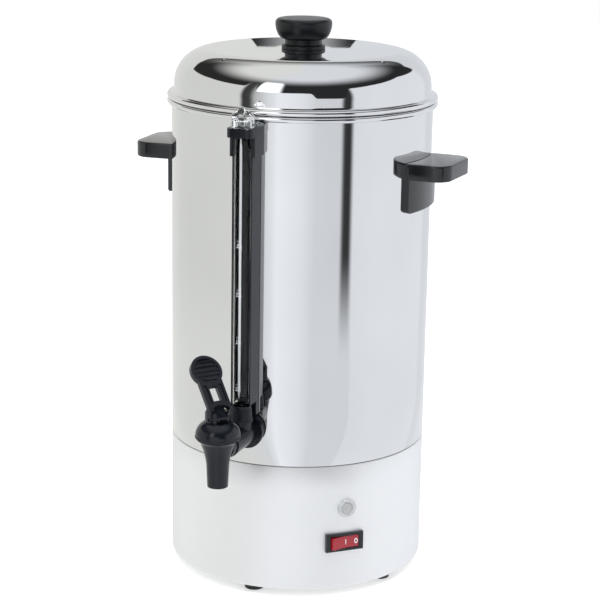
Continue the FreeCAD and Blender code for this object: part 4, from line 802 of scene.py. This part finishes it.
# a small grey card behind the lid: how far it stands off, its outline, and its tones from middle to ends
flagCard = {"out": 150, "across": [-1.0, -0.62, -0.3, 0.3, 0.62, 1.0], "footHalf": 56, "foot": 4.0,
            "topHalf": 46, "tops": [17, 17, 13.5, 13.5, 17, 17], "fade": (0.010, 0.050),
            "tones": [(0.42, 0.43, 0.44), (0.03, 0.032, 0.035)]}


def softStep(tree, value, low, high):
    made = addNode(tree, "ShaderNodeMapRange", {"Value": value, "From Min": low, "From Max": high},
                   interpolation_type="SMOOTHSTEP")
    return made.outputs["Result"]


def crossfade(tree, share, first, second):
    # the first number where the share is nothing, and the second where it is one
    kept = mathNode(tree, "MULTIPLY", first, mathNode(tree, "SUBTRACT", 1.0, share))
    return mathNode(tree, "ADD", kept, mathNode(tree, "MULTIPLY", second, share))


def softWindow(tree, value, edges):
    # one inside, nothing outside, with a soft step on both sides
    rising, falling = softStep(tree, value, *edges[:2]), softStep(tree, value, *edges[2:])
    return mathNode(tree, "MULTIPLY", rising, mathNode(tree, "SUBTRACT", 1.0, falling))


def bearingCurve(tree, bearing, points):
    # a number for every bearing, straight between the given ones
    curve = tree.nodes.new("ShaderNodeFloatCurve")
    tree.links.new(mathNode(tree, "MULTIPLY_ADD", bearing, 1 / 360, 0.5), curve.inputs["Value"])
    line = curve.mapping.curves[0]
    while len(line.points) < len(points):
        line.points.new(0.5, 0.5)
    for point, (angle, value) in zip(line.points, points):
        point.location = (angle / 360 + 0.5, value)
        point.handle_type = "VECTOR"
    curve.mapping.update()
    return curve.outputs["Value"]


def studioWorld(r):
    # brightness by bearing and rise; the camera itself sees plain white
    world = bpy.data.worlds.new("studio")
    bpy.context.scene.world = world
    world.use_nodes = True
    tree = world.node_tree
    tree.nodes.clear()
    where = addNode(tree, "ShaderNodeTexCoord").outputs["Generated"]
    turned = addNode(tree, "ShaderNodeVectorRotate", {"Vector": where, "Angle": math.radians(-photoTurn)},
                     rotation_type="Z_AXIS").outputs[0]
    parts = addNode(tree, "ShaderNodeSeparateXYZ", {0: turned})
    ahead = mathNode(tree, "MULTIPLY", parts.outputs["Y"], -1.0)
    bearing = mathNode(tree, "MULTIPLY", mathNode(tree, "ARCTAN2", parts.outputs["X"], ahead), 180 / math.pi)
    rise = mathNode(tree, "MULTIPLY", mathNode(tree, "ARCSINE", parts.outputs["Z"]), 180 / math.pi)
    shades = bearingCurve(tree, bearing, [(b, v / r["brightest"]) for b, v, t in surround])
    wall = mathNode(tree, "MULTIPLY", shades, r["brightest"])
    tops = bearingCurve(tree, bearing, [(b, t / 90) for b, v, t in surround])
    top = mathNode(tree, "MULTIPLY", tops, 90.0)
    low = crossfade(tree, softStep(tree, rise, *r["floorFrom"]), wall,
                    mathNode(tree, "MAXIMUM", wall, r["floorTone"]))
    behind = softStep(tree, mathNode(tree, "ABSOLUTE", bearing), *r["behind"])
    backShare = mathNode(tree, "MULTIPLY", behind, softStep(tree, rise, *r["behindRise"]))
    skyShare = mathNode(tree, "MAXIMUM", softStep(tree, rise, *r["overhead"]), backShare)
    sky = mathNode(tree, "MULTIPLY_ADD", skyShare, r["paleness"], r["gloom"])
    aboveTop = softStep(tree, mathNode(tree, "SUBTRACT", rise, top), *r["panelEdge"])
    standing = crossfade(tree, aboveTop, low, sky)
    lit = mathNode(tree, "MULTIPLY", softWindow(tree, bearing, softbox["bearing"]),
                   softWindow(tree, rise, softbox["rise"]))
    glow = mathNode(tree, "MULTIPLY", lit, softbox["brightness"])
    value = mathNode(tree, "MAXIMUM", standing, glow)
    tint = blendColours(tree, softStep(tree, bearing, *r["coolFrom"]), *r["tints"])
    colour = addNode(tree, "ShaderNodeVectorMath", {0: tint, 1: value}, operation="MULTIPLY").outputs[0]
    ambient = addNode(tree, "ShaderNodeBackground", {"Color": colour, "Strength": 1.0})
    plain = addNode(tree, "ShaderNodeBackground", {"Color": (1, 1, 1, 1), "Strength": 1.0})
    seen = addNode(tree, "ShaderNodeLightPath").outputs["Is Camera Ray"]
    mixed = addNode(tree, "ShaderNodeMixShader", {0: seen, 1: ambient.outputs[0], 2: plain.outputs[0]})
    output = tree.nodes.new("ShaderNodeOutputWorld")
    tree.links.new(mixed.outputs[0], output.inputs["Surface"])


def studioFloor(s):
    # a pale disc that polished faces don't mirror
    ring = arcPoints((0, 0), s["floorRadius"], 0, 360, 97)[:-1]
    mesh = bpy.data.meshes.new("floor")
    mesh.from_pydata([(x, y, 0) for x, y in ring], [], [list(range(len(ring)))])
    floor = bpy.data.objects.new("floor", mesh)
    bpy.context.scene.collection.objects.link(floor)
    material, tree, shader, where = startMaterial("paleFloor")
    mottle = blendColours(tree, noise(tree, where, 3), *s["floorTones"])
    tree.links.new(mottle, shader.inputs["Base Color"])
    shader.inputs["Roughness"].default_value = 0.9
    shader.inputs["Emission Color"].default_value = (1, 1, 1, 1)
    shader.inputs["Emission Strength"].default_value = s["glow"]
    mesh.materials.append(material)
    floor.visible_glossy = False


def studioFlag(s):
    # the card is seen only in the lid's polished top
    across = np.array(s["across"])
    low = np.column_stack([across * s["footHalf"], np.full(len(across), s["foot"])])
    high = np.column_stack([across * s["topHalf"], np.array(s["tops"])])
    flat = np.concatenate([low, high]) * mm
    away = math.radians(180 + photoTurn)
    out, side = np.array([math.sin(away), -math.cos(away)]), np.array([-math.cos(away), -math.sin(away)])
    ground = out * s["out"] * mm + flat[:, :1] * side
    points = np.column_stack([ground, flat[:, 1] + lidShape["wallTop"] * mm + lidShape["shoulder"] * mm])
    mesh = bpy.data.meshes.new("flag")
    mesh.from_pydata(points.tolist(), [], gridFaces(2, len(across)))
    flag = bpy.data.objects.new("flag", mesh)
    bpy.context.scene.collection.objects.link(flag)
    material, tree, shader, where = startMaterial("flagGrey")
    reach = addNode(tree, "ShaderNodeVectorMath", {0: where, 1: (*side, 0)}, operation="DOT_PRODUCT")
    fade = softStep(tree, mathNode(tree, "ABSOLUTE", reach.outputs["Value"]), *s["fade"])
    tone = blendColours(tree, fade, *s["tones"])
    shader.inputs["Base Color"].default_value = (0, 0, 0, 1)
    shader.inputs["Specular IOR Level"].default_value = 0
    tree.links.new(tone, shader.inputs["Emission Color"])
    shader.inputs["Emission Strength"].default_value = 1
    mesh.materials.append(material)
    flag.visible_camera = flag.visible_diffuse = flag.visible_shadow = flag.visible_transmission = False


def studioLight(s):
    # one large lamp overhead, for soft shade
    lamp = bpy.data.lights.new("topLight", "AREA")
    lamp.energy, lamp.size = s["topLight"], s["topSize"]
    holder = bpy.data.objects.new("topLight", lamp)
    holder.location = (0, 0, s["topHeight"])
    holder.visible_glossy = False
    bpy.context.scene.collection.objects.link(holder)


def studioCamera(s):
    # right, up and back are the photo's own axes, worked out from the urn's rim, seam and outline
    right = np.array([0.92958755, 0.36827035, 0.01561816])
    up = np.array([-0.10617549, 0.22695134, 0.96810116])
    back = np.cross(right, up)
    camera = bpy.data.objects.new("photoCamera", bpy.data.cameras.new("photoCamera"))
    bpy.context.scene.collection.objects.link(camera)
    placed = np.eye(4)
    placed[:3, 0], placed[:3, 1], placed[:3, 2], placed[:3, 3] = right, up, back, s["camera"]
    camera.matrix_world = Matrix(placed.tolist())
    camera.data.sensor_width, camera.data.lens = 36, s["lens"]
    camera.data.clip_start, camera.data.clip_end = 0.05, 50
    bpy.context.scene.camera = camera


studioWorld(room)
studioFloor(studio)
studioFlag(flagCard)
studioLight(studio)
studioCamera(studio)
bpy.context.scene.view_settings.view_transform = "Standard"
print("studio made")

bpy.context.view_layer.update()
